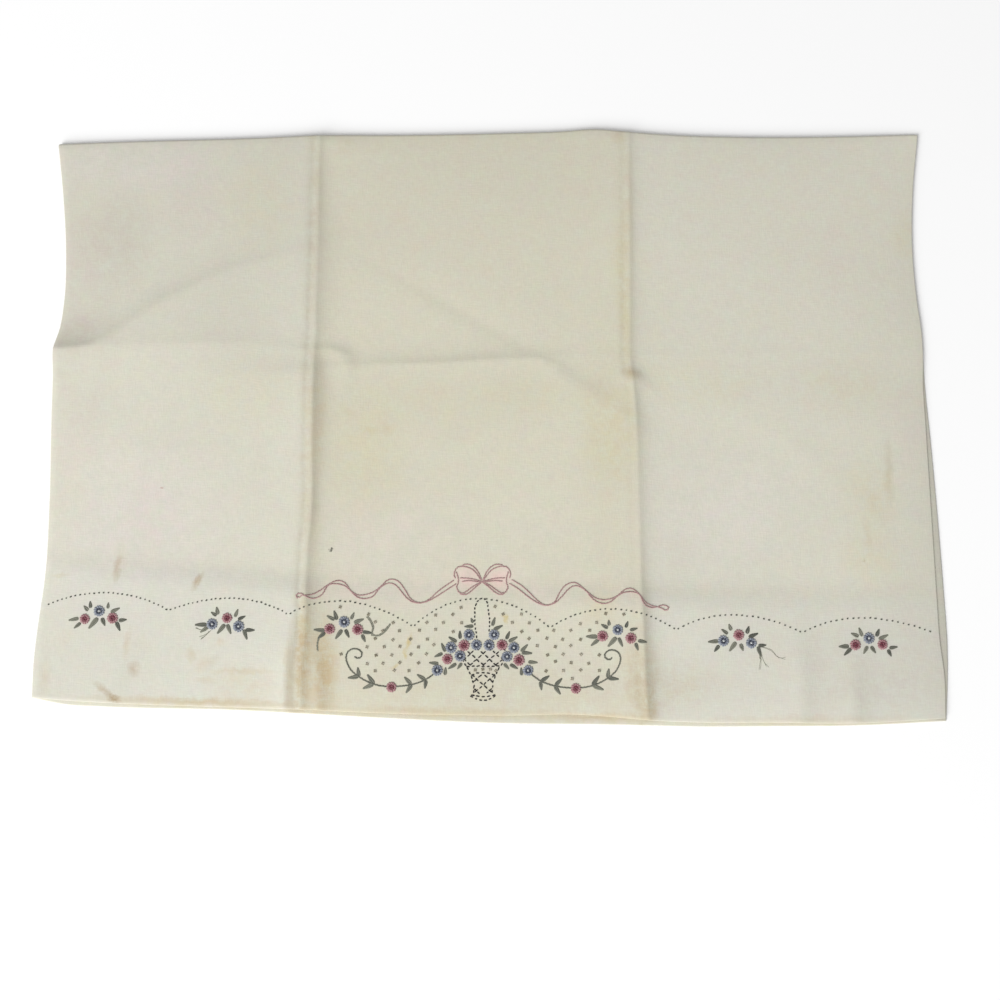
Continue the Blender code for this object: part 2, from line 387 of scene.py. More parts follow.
def smooth_line(places, count):
    """Points along a smooth curve through a few places, evenly by share, and the tangents."""
    places = np.array(places, float)
    steps = np.hypot(*np.diff(places, axis=0).T)
    shares = so_far(steps) / steps.sum()
    at = np.linspace(0, 1, count)
    points = np.stack([through(shares, places[:, k], at) for k in range(places.shape[1])], axis=1)
    tangents = np.gradient(points[:, :2], axis=0)
    return points, tangents / np.hypot(*tangents.T)[:, None]


WRINKLE_POINTS = 40  # along its line
WRINKLE_CUT = 5  # reaches from its line, where a wrinkle counts as ended


def wrinkle_height(wrinkle, x, y):
    """The height of a wrinkle at places: its rise there, times a ridge of the distance from the
    nearest point of its line, fading out past both ends."""
    line, tangents = smooth_line(np.array(wrinkle.places) * MM, WRINKLE_POINTS)
    reach = (wrinkle.right_reach + wrinkle.left_reach) * MM
    low = line.min(axis=0) - WRINKLE_CUT * reach
    high = line.max(axis=0) + WRINKLE_CUT * reach
    near = (x > low[0]) & (x < high[0]) & (y > low[1]) & (y < high[1])
    gap = np.stack([x[near], y[near]], axis=1)[:, None] - line
    nearest = (gap**2).sum(axis=2).argmin(axis=1)
    gap = gap[np.arange(len(nearest)), nearest]
    tangent = tangents[nearest]
    past = np.abs((gap * tangent).sum(axis=1))
    left = tangent[:, 0] * gap[:, 1] - tangent[:, 1] * gap[:, 0]
    rise = np.interp(nearest / (len(line) - 1), (0, 0.5, 1), np.array(wrinkle.rises) * MM)
    across = ridge(left, wrinkle.left_reach * MM, wrinkle.right_reach * MM)
    height = np.zeros_like(x)
    height[near] = rise * bell(past, reach) * across
    return height


class Roll(NamedTuple):
    """A long wave of the top layer: how fast it turns across and up the case, in radians a
    metre, where it starts, in radians, and its height in mm."""

    across: float
    up: float
    start: float
    height: float


ROLLS = (
    Roll(31, 12, 0.3, 0.22),
    Roll(-14, 47, 1.9, 0.20),
    Roll(58, -36, 4.1, 0.12),
    Roll(23, 81, 2.6, 0.10),
    Roll(-96, 44, 0.8, 0.06),
)


def undulation(x, y):
    """Low rolls all over the top layer: a sum of long waves that cross at odd angles."""
    return sum(r.height * MM * np.sin(r.across * x + r.up * y + r.start) for r in ROLLS)


def relief(x, y):
    """How far the top layer stands above the pressed stack at each place: its loft with low
    rolls, the creases and the wrinkles, less how far its right edge is pressed down."""
    across, up = shares_at(x, y)
    from_side = np.minimum(across, 1 - across) * WIDTH
    from_end = np.minimum(up, 1 - up) * HALF_LENGTH
    ease = (1 - np.exp(-from_side / LOFT_EASE)) * (1 - np.exp(-from_end / LOFT_EASE))
    height = (LOFT + undulation(x, y)) * ease
    for share, table in zip(LONG_CREASES, (LEFT_CREASE, RIGHT_CREASE)):
        height += crease_height(table, up, (across - share) * WIDTH)
    height += crease_height(CROSS, across, (up - CROSS_CREASE) * HALF_LENGTH)
    for wrinkle in WRINKLES:
        height += wrinkle_height(wrinkle, x, y)
    return np.maximum(height, 0) - SINK * np.exp((across - 1) * WIDTH / SINK_REACH)


def hem_share(across, along):
    """1 where the hem's turned-up cloth lies behind the cloth, 0 beyond it, an even S between."""
    return 1 - smooth_step((along - read(CROSSWISE, "hem_depth", across)) / HEM_EDGE + 0.5)


def lifted(height, x, y):
    """Heights in the pressed stack once the top layer has risen by its relief, which the layers
    under it follow less and less."""
    return height * (1 + height * relief(x, y) / STACK**2)


def top_surface(x, y):
    """The height of the upper face of the top layer at each place."""
    across, up = shares_at(x, y)
    doubled = CLOTH * hem_share(across, up * HALF_LENGTH)
    return lifted(STACK + doubled, x, y)


def lay_out(flat_x, along, out):
    """Carries points of the case laid flat round the fold and on to its outline and relief."""
    turned = np.clip((along - HALF_LENGTH) / TURN_LENGTH, 0, 1)
    angle = turned * np.pi
    under = angle > np.pi / 2
    up = np.clip(np.where(under, LENGTH - along, along) / HALF_LENGTH, 0, 1)
    across = flat_x / WIDTH + 0.5
    x = between_lines(across, LENGTHWISE_KNOTS, lengthwise_lines(up))
    x += np.where(under, read(LENGTHWISE, "under_shift", up), 0)

    lines = crosswise_lines(across)
    upper = between_lines(up, CROSSWISE_KNOTS, lines)
    closed_end = read(CROSSWISE, "closed_end", across) - CENTRE[1]
    lower = closed_end * (1 - up) + lines[2] * up
    y = np.where(under, lower, upper) + (TURN_RADIUS + out) * np.sin(angle)
    z = STACK / 2 + (TURN_RADIUS + out) * np.cos(angle)
    return np.stack([x, y, lifted(z, x, y)], axis=1)


def places_with_density(start, end, plain, finer, even_by):
    """Places from start to end, a plain step apart but finer near some of them: evenly spread
    steps of the sum of a steady density and a bell of density at each. Their number of steps
    divides by the last argument."""
    samples = np.linspace(start, end, DENSITY_SAMPLES)
    density = np.full_like(samples, 1 / plain)
    for place, step, spread in finer:
        density += (1 / step - 1 / plain) * bell(samples - place, spread)
    steps = so_far((density[1:] + density[:-1]) / 2 * np.diff(samples))
    count = int(round(steps[-1] / even_by)) * even_by
    return np.interp(np.linspace(0, steps[-1], count + 1), steps, samples)


def add_mesh(name, points, polygons, uvs, material):
    """A piece from its points, arrays of polygons with equally many corners, and a pair of
    texture coordinates for each of their corners."""
    corners = np.concatenate([p.ravel() for p in polygons])
    sizes = np.concatenate([np.full(len(p), p.shape[1]) for p in polygons])
    mesh = bpy.data.meshes.new(name)
    mesh.vertices.add(len(points))
    mesh.vertices.foreach_set("co", points.ravel())
    mesh.loops.add(len(corners))
    mesh.loops.foreach_set("vertex_index", corners.astype(np.int32))
    mesh.polygons.add(len(sizes))
    mesh.polygons.foreach_set("loop_start", (np.cumsum(sizes) - sizes).astype(np.int32))
    mesh.update(calc_edges=True)
    layer = mesh.uv_layers.new(name="thread")
    layer.data.foreach_set("uv", np.concatenate([uv.reshape(-1) for uv in uvs]))
    mesh.materials.append(material)
    mesh.shade_smooth()
    piece = bpy.data.objects.new(name, mesh)
    bpy.context.scene.collection.objects.link(piece)
    return piece


def half_ring():
    """Across the front panel from its left edge to its right: the share of the way between the
    two rounded edges, how far round the left and the right edge, and how much the cloth stands
    off the middle of the case."""
    flat = places_with_density(-WIDTH / 2, WIDTH / 2, PLAIN_COLUMN, FINE_COLUMNS, BACK_EVERY)
    inside = flat[1:-1] / WIDTH + 0.5
    left = np.concatenate([np.cos(ROUNDED), np.zeros(len(inside) + len(ROUNDED))])
    share = np.concatenate([np.zeros(len(ROUNDED)), inside, np.ones(len(ROUNDED))])
    lift = np.concatenate([np.sin(ROUNDED), np.ones(len(inside)), np.sin(ROUNDED)[::-1]])
    return share, left - left[::-1], lift


class Rings(NamedTuple):
    """The rings of the case, in order, as arrays."""

    along: np.ndarray  # how far along the case each lies
    plain: np.ndarray  # how far its cloth stands off the case's middle, without the hem
    hemmed: np.ndarray  # how many thicknesses of cloth the hem adds to that
    rounding: np.ndarray  # how much of it is left where the closed end is rounded
    inset: np.ndarray  # how far inside the outer face it lies


def case_rings():
    """From the closed end along the outer face to the mouth, round its rim and back along the
    inner face."""
    turn = np.linspace(HALF_LENGTH, HALF_LENGTH + TURN_LENGTH, TURN_ROWS + 1)
    upper = places_with_density(FIRST_ROW, HALF_LENGTH, PLAIN_ROW, FINE_ROWS, INNER_EVERY)
    under = np.linspace(turn[-1], LENGTH - LAST_ROW, int(HALF_LENGTH / UNDER_ROW))
    outer = np.concatenate([upper, turn[1:-1], under])[::-1]
    inner = np.concatenate([upper[::INNER_EVERY], turn[1:-1], under])
    rim = np.radians((0, 45, 90, 135, 180))  # from the outer face over the edge to the inner face
    closing = np.sin(ROUNDED)
    back = 1 - np.cos(ROUNDED)

    along = (
        LENGTH - BAG / 2 * back,
        outer,
        CLOTH * (1 - np.sin(rim)),
        inner,
        (LENGTH - CLOTH - AIR / 2 * back)[::-1],
    )
    face = (
        np.ones_like(closing),
        np.ones_like(outer),
        (1 + np.cos(rim)) / 2,
        np.zeros_like(inner),
        np.zeros_like(closing),
    )
    rounding = (
        closing,
        np.ones_like(outer),
        np.ones_like(rim),
        np.ones_like(inner),
        closing[::-1],
    )
    face = np.concatenate(face)
    return Rings(
        along=np.concatenate(along),
        plain=AIR / 2 + CLOTH * face,
        hemmed=face,
        rounding=np.concatenate(rounding),
        inset=CLOTH * (1 - face),
    )


def case_faces(half, back, uv):
    """The faces of the case, as the grid's points in use, polygons and their texture coordinates:
    quads between its rings. The first and the last ring are pressed flat and joined front to
    back, so there the back panel's faces have more corners."""
    at_back = np.arange(uv.shape[1]) > half
    number = np.arange(uv[..., 0].size).reshape(uv.shape[:2])
    number[:, -1] = number[:, 0]
    for ring in (0, -1):
        number[ring, at_back] = number[ring, back[1:]]
    used, number_of = np.unique(number, return_inverse=True)
    number_of = number_of.reshape(number.shape)

    corners = ((slice(None, -1), slice(None, -1)), (slice(1, None), slice(None, -1)),
               (slice(1, None), slice(1, None)), (slice(None, -1), slice(1, None)))
    quads = np.stack([number_of[corner] for corner in corners], axis=2)
    quad_uv = np.stack([uv[corner] for corner in corners], axis=2)
    kept = np.ones(quads.shape[:2], bool)
    kept[np.ix_((0, -1), at_back[1:])] = False

    # Faces of the back panel at the flat rings, with the front's points between their own
    between = back[1:, None] + np.arange(1, BACK_EVERY)
    seam_uv = np.stack([WIDTH - uv[0, between, 0], uv[0, between, 1]], axis=2)
    first, last = quads[0, half:], quads[-1, half:]
    joined = np.concatenate([
        np.concatenate([first, number_of[0, between]], axis=1),
        np.concatenate([last[:, :2], number_of[-1, between[:, ::-1]], last[:, 2:]], axis=1),
    ])
    first, last = quad_uv[0, half:], quad_uv[-1, half:]
    joined_uv = np.concatenate([
        np.concatenate([first, seam_uv], axis=1),
        np.concatenate([last[:, :2], seam_uv[:, ::-1], last[:, 2:]], axis=1),
    ])
    return used, [quads[kept], joined], [quad_uv[kept], joined_uv]


def make_case(material):
    """The pillowcase as one closed skin, shaped like a sock: rings run round the case from its
    closed end along the outer face, over the rim of the mouth and back along the inner face. The
    back panel has fewer columns."""
    share, side, lift = half_ring()
    rings = case_rings()
    half = len(share) - 1
    back = np.arange(half, -1, -BACK_EVERY)
    column_of = np.concatenate([np.arange(half + 1), back[1:]])
    at_back = np.arange(len(column_of)) > half
    share, side, lift = share[column_of], side[column_of], lift[column_of]

    rounding = rings.plain[:, None]
    edge = WIDTH / 2 - rings.inset[:, None]
    x = (2 * share - 1) * (edge - rounding) - side * rounding
    y = np.repeat(rings.along[:, None], len(column_of), axis=1)
    doubled = CLOTH * hem_share((x / WIDTH + 0.5).ravel(), y.ravel()).reshape(x.shape)
    stand = rings.plain[:, None] + rings.hemmed[:, None] * doubled
    out = np.where(at_back, -1, 1) * lift * stand * rings.rounding[:, None]
    placed = lay_out(x.ravel(), y.ravel(), out.ravel())

    round_case = np.where(at_back, 1.5 * WIDTH - x, x + WIDTH / 2)  # from the left edge
    used, polygons, uvs = case_faces(half, back, np.stack([round_case, y], axis=2))
    case = add_mesh("folded_case", placed[used], polygons, uvs, material)
    patches = case.data.attributes.new("patches", "FLOAT_VECTOR", "POINT")
    patches.data.foreach_set("vector", patchy(placed[used, 0], placed[used, 1]).ravel())
    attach(case, "root")
    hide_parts("pillowcase")


# ---- Materials ----


class Wire:
    """One output of a material's node. Arithmetic on it adds Math nodes."""

    def __init__(self, tree, socket=None):
        self.tree = tree
        self.socket = socket

    def node(self, kind, settings=None, sockets=None, output=0):
        """A new node of a kind: its settings first, then values or links for its sockets."""
        node = self.tree.nodes.new(kind)
        for name, value in (settings or {}).items():
            setattr(node, name, value)
        for name, value in (sockets or {}).items():
            if isinstance(value, Wire):
                self.tree.links.new(value.socket, node.inputs[name])
            else:
                node.inputs[name].default_value = value
        return Wire(self.tree, node.outputs[output])

    def math(self, operation, first, second):
        return self.node("ShaderNodeMath", {"operation": operation}, {0: first, 1: second})

    def __add__(self, other):
        return self.math("ADD", self, other)

    __radd__ = __add__

    def __sub__(self, other):
        return self.math("SUBTRACT", self, other)

    def __rsub__(self, other):
        return self.math("SUBTRACT", other, self)

    def __mul__(self, other):
        return self.math("MULTIPLY", self, other)

    def __truediv__(self, other):
        return self.math("DIVIDE", self, other)

    def clamped(self):
        """The same value held between 0 and 1."""
        return self.node("ShaderNodeMath", {"operation": "ADD", "use_clamp": True}, {0: self, 1: 0})


DULL = 0.25  # how much cloth and thread mirror
SHEEN_SPREAD = 0.5


def new_material(name, roughness, sheen=0.0):
    """A material, its shader and a wire to start its nodes from."""
    material = bpy.data.materials.new(name)
    material.use_nodes = True
    shader = material.node_tree.nodes["Principled BSDF"]
    shader.inputs["Roughness"].default_value = roughness
    shader.inputs["Specular IOR Level"].default_value = DULL
    shader.inputs["Sheen Weight"].default_value = sheen
    shader.inputs["Sheen Roughness"].default_value = SHEEN_SPREAD
    return material, shader, Wire(material.node_tree)


def join_to(shader, name, wire):
    """Links a wire to one of the shader's sockets."""
    wire.tree.links.new(wire.socket, shader.inputs[name])


def noise(vector, scale, detail=2.0, roughness=0.5, output=0):
    """Noise about 0.5 with a feature every 1/scale metres; its second output is a colour, whose
    red, green and blue waver by themselves."""
    sockets = {"Vector": vector, "Scale": scale, "Detail": detail, "Roughness": roughness}
    return vector.node("ShaderNodeTexNoise", None, sockets, output)


def part(vector, number):
    """One part of a vector or colour, counted from 0."""
    return vector.node("ShaderNodeSeparateXYZ", None, {0: vector}, output=number)


def vector_math(operation, first, *others):
    """Vectors or colours put together part by part."""
    sockets = dict(enumerate((first, *others)))
    return first.node("ShaderNodeVectorMath", {"operation": operation}, sockets)


def fade(value, low, high):
    """An even S from 0 at low to 1 at high, which may be the lower number."""
    settings = {"interpolation_type": "SMOOTHSTEP"}
    sockets = {"Value": value, "From Min": low, "From Max": high}
    return value.node("ShaderNodeMapRange", settings, sockets)


def within(value, low, high, soft):
    """1 where a value lies between two others, with soft ends."""
    return fade(value, low - soft, low + soft) * fade(value, high + soft, high - soft)


def brightened(colour, factor):
    """A colour scaled by a factor that varies."""
    return colour.node("ShaderNodeVectorMath", {"operation": "SCALE"}, {0: colour, "Scale": factor})


def mixed(mask, first, second, blend="MIX"):
    """A colour mixed by a mask with a second one."""
    settings = {"data_type": "RGBA", "blend_type": blend}
    return mask.node("ShaderNodeMix", settings, {0: mask, 6: first, 7: second}, output=2)


def multiply(mask, colour, by):
    """A colour multiplied by another as far as a mask says."""
    return mixed(mask, colour, by, "MULTIPLY")


def bump(height, distance):
    """A bumped normal from a height, which is 1 at the distance."""
    return height.node("ShaderNodeBump", None, {"Height": height, "Distance": distance})


CREAM = (0.615, 0.597, 0.502)
# Parts of the cloth that have aged otherwise, and painted shade over the left panel above the cross
# crease, as factors on its cream
MIDDLE_PANEL = (0.985, 0.975, 0.935, 1)
SHADE_ABOVE_CREASE = (0.955, 0.955, 0.955, 1)  # painted shade, in the left panel
TURNED_HEM = (1.0, 1.008, 1.035, 1)
HEM_DEPTHS = (81 * MM, 70 * MM)  # from its left end to its right
PANEL_EDGE = 4 * MM  # how softly the tint of a panel ends, to each side
SHADE_ABOVE_EDGES = (-5 * MM, 7 * MM)  # from the cross crease, where its painted shade begins and is full
HEM_EDGES = (2 * MM, -4 * MM)  # from the hem's depth, where its tint begins and is full
HEM_LOSS = 0.6  # of its tint in the middle panel

MOTTLES = 110  # a metre
MOTTLING = 0.16  # how far each of red, green and blue wavers from place to place
STRAY = 8 * MM  # how far the outline of a small stain may stray
CLOUD_START = 0.25  # of the mottling, where the wide patches begin to show
CLOUD_RISE = 3  # how fast they come up from there
PATCH_EDGE = 1.25  # where a patch or stain ends, in its own reaches
STAIN_DEPTH = 1.3  # in the middle of a small stain, in its own strength
STAIN_FLOOR = 0.03  # the least share of a colour that a stain leaves

# Threads of the cloth: how many features a metre along them and across them
YARN = (190, 1250)
SLUB = (150, 1000)  # a thick place in a thread
SLUB_EDGES = (0.60, 0.74)  # of the noise, where a slub begins and is full
CLUMPS = 420  # of fibres, a metre
YARN_SHADE = 0.09
SLUB_SHADE = 0.02
CLUMP_SHADE = 0.08
WEAVE_DEPTH = 0.14 * MM

# What stains, and patches of painted shade, do to the cream at full strength
# grey: soil in some patches, and painted shade in those along the creases and over the upper part
GREY_SOIL_AND_SHADE = (0.90, 0.885, 0.895)
BLUSH = (1.0, 0.962, 0.995)
STRAW = (0.98, 0.964, 0.89)
BLEACH = (1.03, 1.03, 1.055)
COOL = (1.035, 1.015, 1.075)
RUST = (0.88, 0.77, 0.61)
# darkens a band along the near side of each crease
CREASE_BAND = (0.905, 0.885, 0.84)
HAZE = (0.955, 0.965, 0.99)  # dye run from the flowers
ROSY = (1.10, 1.035, 1.10)  # and from the ribbon, over paler cloth
PINKISH = (1.06, 0.92, 0.96)  # inside its bow
TEA = (0.62, 0.45, 0.29)
AMBER = (0.90, 0.76, 0.44)
INK = (0.12, 0.11, 0.12)
WINE = (0.60, 0.25, 0.25)


class Stain(NamedTuple):
    """A stain on the cloth, or a patch of painted shade: its middle and its reach across and up in
    mm, its turn in degrees, its colour and its strength."""

    x: float
    y: float
    across: float
    up: float
    turn: float
    colour: tuple
    strength: float


# Wide and faint ones, of age and handling, with grey ones that are soil in some places and painted
# shade along the creases and over the upper part, and brown ones where it lay folded
PATCHES = (
    Stain(-229, 111, 25.8, 34, 0, GREY_SOIL_AND_SHADE, 0.9),
    Stain(-237, 54, 15.2, 41, 4, GREY_SOIL_AND_SHADE, 0.45),
    Stain(-246, 57, 11.7, 9.4, 0, GREY_SOIL_AND_SHADE, 0.5),
    Stain(-185, 136, 21.1, 35.2, 0, BLUSH, 0.9),
    Stain(-141, 136, 25.8, 35.2, 0, STRAW, 0.55),
    Stain(-145, 16, 35.2, 29.3, 0, STRAW, 0.55),
    Stain(-244, 8, 23.4, 19.9, 0, GREY_SOIL_AND_SHADE, 0.5),
    Stain(-247, -15, 15.2, 17.6, 0, BLUSH, 0.9),
    Stain(-203, -59, 19.9, 25.8, 0, BLUSH, 0.8),
    Stain(-251, -47, 17.6, 23.4, 0, STRAW, 0.3),
    Stain(-56, 110, 35.2, 23.4, 0, BLUSH, 0.25),
    Stain(-74, -26, 27, 44.5, 0, STRAW, 0.9),
    Stain(71, -10, 19.9, 36.3, 0, STRAW, 1.0),
    Stain(32, 14, 35.2, 12.9, -8, STRAW, 0.5),
    Stain(79, 96, 8.2, 38.7, 0, STRAW, 0.9),
    Stain(-24, -13, 12.9, 9.4, 20, GREY_SOIL_AND_SHADE, 0.3),
    Stain(5, -68, 76.2, 27, 0, BLEACH, 0.7),
    Stain(93, 54, 17.6, 70.3, 0, STRAW, 0.3),
    Stain(208, 94, 8.2, 30.5, 0, BLUSH, 0.9),
    Stain(252, 114, 8.2, 17.6, 0, STRAW, 0.9),
    Stain(125, 20, 41, 19.9, -6, STRAW, 0.6),
    Stain(212, 20, 29.3, 19.9, 0, STRAW, 0.55),
    Stain(253, -8, 15.2, 35.2, 4, BLUSH, 0.7),
    Stain(225, -47, 19.9, 25.8, 10, STRAW, 0.8),
    Stain(159, -50, 41, 29.3, 20, BLEACH, 0.7),
    Stain(111, -83, 9.4, 19.9, 0, GREY_SOIL_AND_SHADE, 0.4),
    Stain(243, -109, 15.2, 35.2, 0, GREY_SOIL_AND_SHADE, 0.3),
    Stain(-104, -2, 6.4, 44.5, 0, RUST, 0.42),
    Stain(-110, -144, 5.3, 38.7, 0, RUST, 0.75),
    Stain(-97, -151, 7.6, 29.3, 0, RUST, 0.8),
    Stain(87, -149, 11.7, 31.6, 0, RUST, 0.45),
    Stain(93, -171, 5.3, 10.5, 0, RUST, 0.8),
    Stain(64, -116, 11.7, 18.8, 0, STRAW, 1.0),
    Stain(-90, 170, 7.6, 5.3, 20, RUST, 0.3),
    Stain(-249, -135, 5.9, 10.5, 0, RUST, 0.12),
    Stain(228, -54, 5.3, 11.7, 12, RUST, 0.2),
    Stain(205, -150, 92, 34, 0, GREY_SOIL_AND_SHADE, 0.5),
    # painted shade over the upper part, in the middle and on the right
    Stain(-10, 150, 135, 95, 0, GREY_SOIL_AND_SHADE, 0.35),
    Stain(185, 130, 115, 110, 0, GREY_SOIL_AND_SHADE, 0.3),
    Stain(200, 18, 90, 22, 0, GREY_SOIL_AND_SHADE, 0.3),
    Stain(-103, -146, 15, 42, 0, RUST, 0.5),
    Stain(20, -160, 130, 30, 0, GREY_SOIL_AND_SHADE, 0.65),
    Stain(-258, 42, 16, 26, 0, GREY_SOIL_AND_SHADE, 0.9),
    Stain(-258, 105, 16, 55, 0, GREY_SOIL_AND_SHADE, 0.4),
    Stain(-215, -62, 70, 60, 0, COOL, 0.9),
    Stain(-215, 160, 60, 22, 0, COOL, 1.0),
    Stain(-66, -72, 42, 38, 0, COOL, 0.9),
    Stain(126, -62, 50, 46, 0, COOL, 0.6),
    # painted shade beside the right crease, with a straw stain over it
    Stain(70, -15, 20, 105, 0, GREY_SOIL_AND_SHADE, 0.2),
    Stain(70, -15, 18, 100, 0, STRAW, 0.35),
    # painted shade along the left crease
    Stain(-104, 85, 14, 85, 0, GREY_SOIL_AND_SHADE, 0.35),
    Stain(-30, 10, 75, 22, 0, STRAW, 0.4),
    Stain(-30, 10, 75, 22, 0, GREY_SOIL_AND_SHADE, 0.15),
    Stain(225, -82, 20, 20, 0, STRAW, 0.8),
    Stain(-144, -160, 22, 14, 0, RUST, 0.3),
    Stain(95, -160, 40, 18, 0, GREY_SOIL_AND_SHADE, 0.5),
    Stain(110, -160, 24, 16, 0, STRAW, 0.8),
    Stain(225, -162, 40, 16, 0, GREY_SOIL_AND_SHADE, 0.4),
    Stain(-252, 88, 22, 40, 0, BLUSH, 0.6),
    Stain(-160, 60, 30, 40, 0, GREY_SOIL_AND_SHADE, 0.25),
    Stain(-230, -119, 22, 11, 0, HAZE, 0.9),
    Stain(-155, -122, 22, 11, 0, HAZE, 0.9),
    Stain(-86, -124, 22, 11, 0, HAZE, 0.7),
    Stain(74, -129, 22, 11, 0, HAZE, 0.9),
    Stain(145, -132, 22, 11, 0, HAZE, 0.9),
    Stain(221, -134, 22, 11, 0, HAZE, 0.8),
    Stain(-5, -139, 34, 17, 0, HAZE, 1.0),
    Stain(-80, -103, 34, 10, 0, ROSY, 0.5),
    Stain(-36, -103, 24, 11, 20, ROSY, 0.7),
    Stain(24, -102, 24, 11, -25, ROSY, 0.7),
    Stain(66, -105, 34, 11, -8, ROSY, 0.5),
    Stain(-14, -97.5, 9, 8, 0, ROSY, 0.9),
    Stain(4, -97.5, 9, 8, 0, ROSY, 0.9),
    Stain(-10, -168, 110, 22, 0, STRAW, 0.5),
)
# Streaks and spots, and the brown along creases and edges
STAINS = (
    Stain(-106, -62, 4.7, 29.3, 2, RUST, 0.22),
    Stain(-118, -154, 2.9, 25.8, 0, RUST, 0.4),
    Stain(78, 176, 4.7, 4.1, 0, RUST, 0.3),
    Stain(-106, 148, 2.9, 29.3, 0, RUST, 0.14),
    Stain(85, 136, 2.3, 41, 0, RUST, 0.16),
    Stain(82, 54, 3.5, 23.4, 0, STRAW, 0.8),
    Stain(84, 26, 5.9, 4.1, 0, RUST, 0.5),
    Stain(-226, -162, 8.5, 2.2, -40, TEA, 0.4),
    Stain(-220, -167, 5.0, 2.4, -20, TEA, 0.55),
    Stain(-170, -169, 64.5, 2.9, -2, RUST, 0.7),
    Stain(-30, -175, 76.2, 3.5, -1, RUST, 0.45),
    Stain(63, -178, 35.2, 2.9, -1, RUST, 0.6),
    Stain(191, -180, 76.2, 3.5, 0, RUST, 0.3),
    Stain(-147, -151, 21.1, 1.8, 0, RUST, 0.35),
    Stain(-221, -91, 2.2, 8.5, -8, TEA, 0.35),
    Stain(-219, -85, 3.5, 11.7, 0, RUST, 0.15),
    Stain(-173, -98, 2.0, 6.5, -30, TEA, 0.5),
    Stain(-213, -135, 2.3, 9.4, -8, RUST, 0.35),
    Stain(-209, -150, 4.1, 4.7, 0, TEA, 0.35),
    Stain(-176, -141, 2.9, 5.3, 15, RUST, 0.4),
    Stain(-167, -156, 5.9, 2.3, 0, RUST, 0.35),
    Stain(-166, -146, 8.2, 3.5, 30, RUST, 0.3),
    Stain(-158, -134, 2.9, 2.3, 0, RUST, 0.3),
    Stain(-254, -94, 5.9, 1.2, 0, RUST, 0.3),
    Stain(-261, -155, 3.5, 11.7, 0, RUST, 0.25),
    Stain(-72, -8, 7, 2.9, -8, RUST, 0.24),
    Stain(-62, -8, 3.5, 3.5, 0, RUST, 0.24),
    Stain(-87, 4, 7, 2.3, -35, RUST, 0.15),
    Stain(237, -33, 3.2, 20, 0, TEA, 0.2),
    Stain(223, -72, 2.9, 9.4, 8, RUST, 0.25),
    Stain(220, -86, 1.2, 1.8, 0, TEA, 0.35),
    Stain(-48, -134, 1.3, 4.5, -20, AMBER, 0.7),
    Stain(-50, -141, 1.2, 3.5, 10, AMBER, 0.6),
    Stain(-56, -148, 1.3, 4.0, -45, AMBER, 0.5),
    Stain(8, -120, 1.6, 3.0, 30, AMBER, 0.7),
    Stain(-14, -97, 8, 8, 0, PINKISH, 1.0),
    Stain(4, -97, 8, 8, 0, PINKISH, 1.0),
    Stain(-95, -79.5, 1.3, 0.7, 0, INK, 0.9),
    Stain(-196, -43, 0.6, 0.6, 0, WINE, 0.5),
)


def patchy(x, y):
    """What the darker bands along the creases, the wide stains and the patches of painted shade
    together do to the colour of the cloth at places."""
    colour = np.ones((len(x), 3))
    across, up = shares_at(x, y)
    for share, table in zip(LONG_CREASES, (LEFT_CREASE, RIGHT_CREASE)):
        aside = (across - share) * WIDTH - read(table, "wander", up)
        band_darkening = through(column(table, "share"), column(table, "band_darkening"), up)
        band_darkening *= bell(aside + CREASE_BAND_PLACE, CREASE_BAND_WIDTH)
        colour *= 1 - band_darkening[:, None] * (1 - np.array(CREASE_BAND))
    for patch in PATCHES:
        turned = turned_by(-patch.turn)
        apart = turned @ (np.stack([x, y]) / MM - np.array([[patch.x], [patch.y]]))
        distance = np.hypot(apart[0] / patch.across, apart[1] / patch.up)
        mask = patch.strength * smooth_step(PATCH_EDGE - distance)
        colour *= 1 - mask[:, None] * (1 - np.array(patch.colour))
    return colour


def stained(place, colour, stain):
    """A colour with a small stain on it, which falls off evenly from its middle."""
    sockets = {
        "Vector": place,
        "Location": (stain.x * MM, stain.y * MM, 0),
        "Rotation": (0, 0, np.radians(stain.turn)),
        "Scale": (stain.across * MM * PATCH_EDGE, stain.up * MM * PATCH_EDGE, 1),
    }
    inside = place.node("ShaderNodeMapping", {"vector_type": "TEXTURE"}, sockets)
    settings = {"gradient_type": "SPHERICAL"}
    mask = place.node("ShaderNodeTexGradient", settings, {0: inside}, output=1)
    middle = 1 - stain.strength * STAIN_DEPTH * (1 - np.array(stain.colour))
    return multiply(mask, colour, (*middle.clip(STAIN_FLOOR), 1))


def crossed(cloth, features, detail=2.0):
    """Noise drawn out along the weft, and noise drawn out along the warp."""
    along, across = features
    weft = noise(vector_math("MULTIPLY", cloth, (along, across, 1)), 1.0, detail)
    warp = noise(vector_math("MULTIPLY", cloth, (across, along, 1)), 1.0, detail)
    return weft, warp


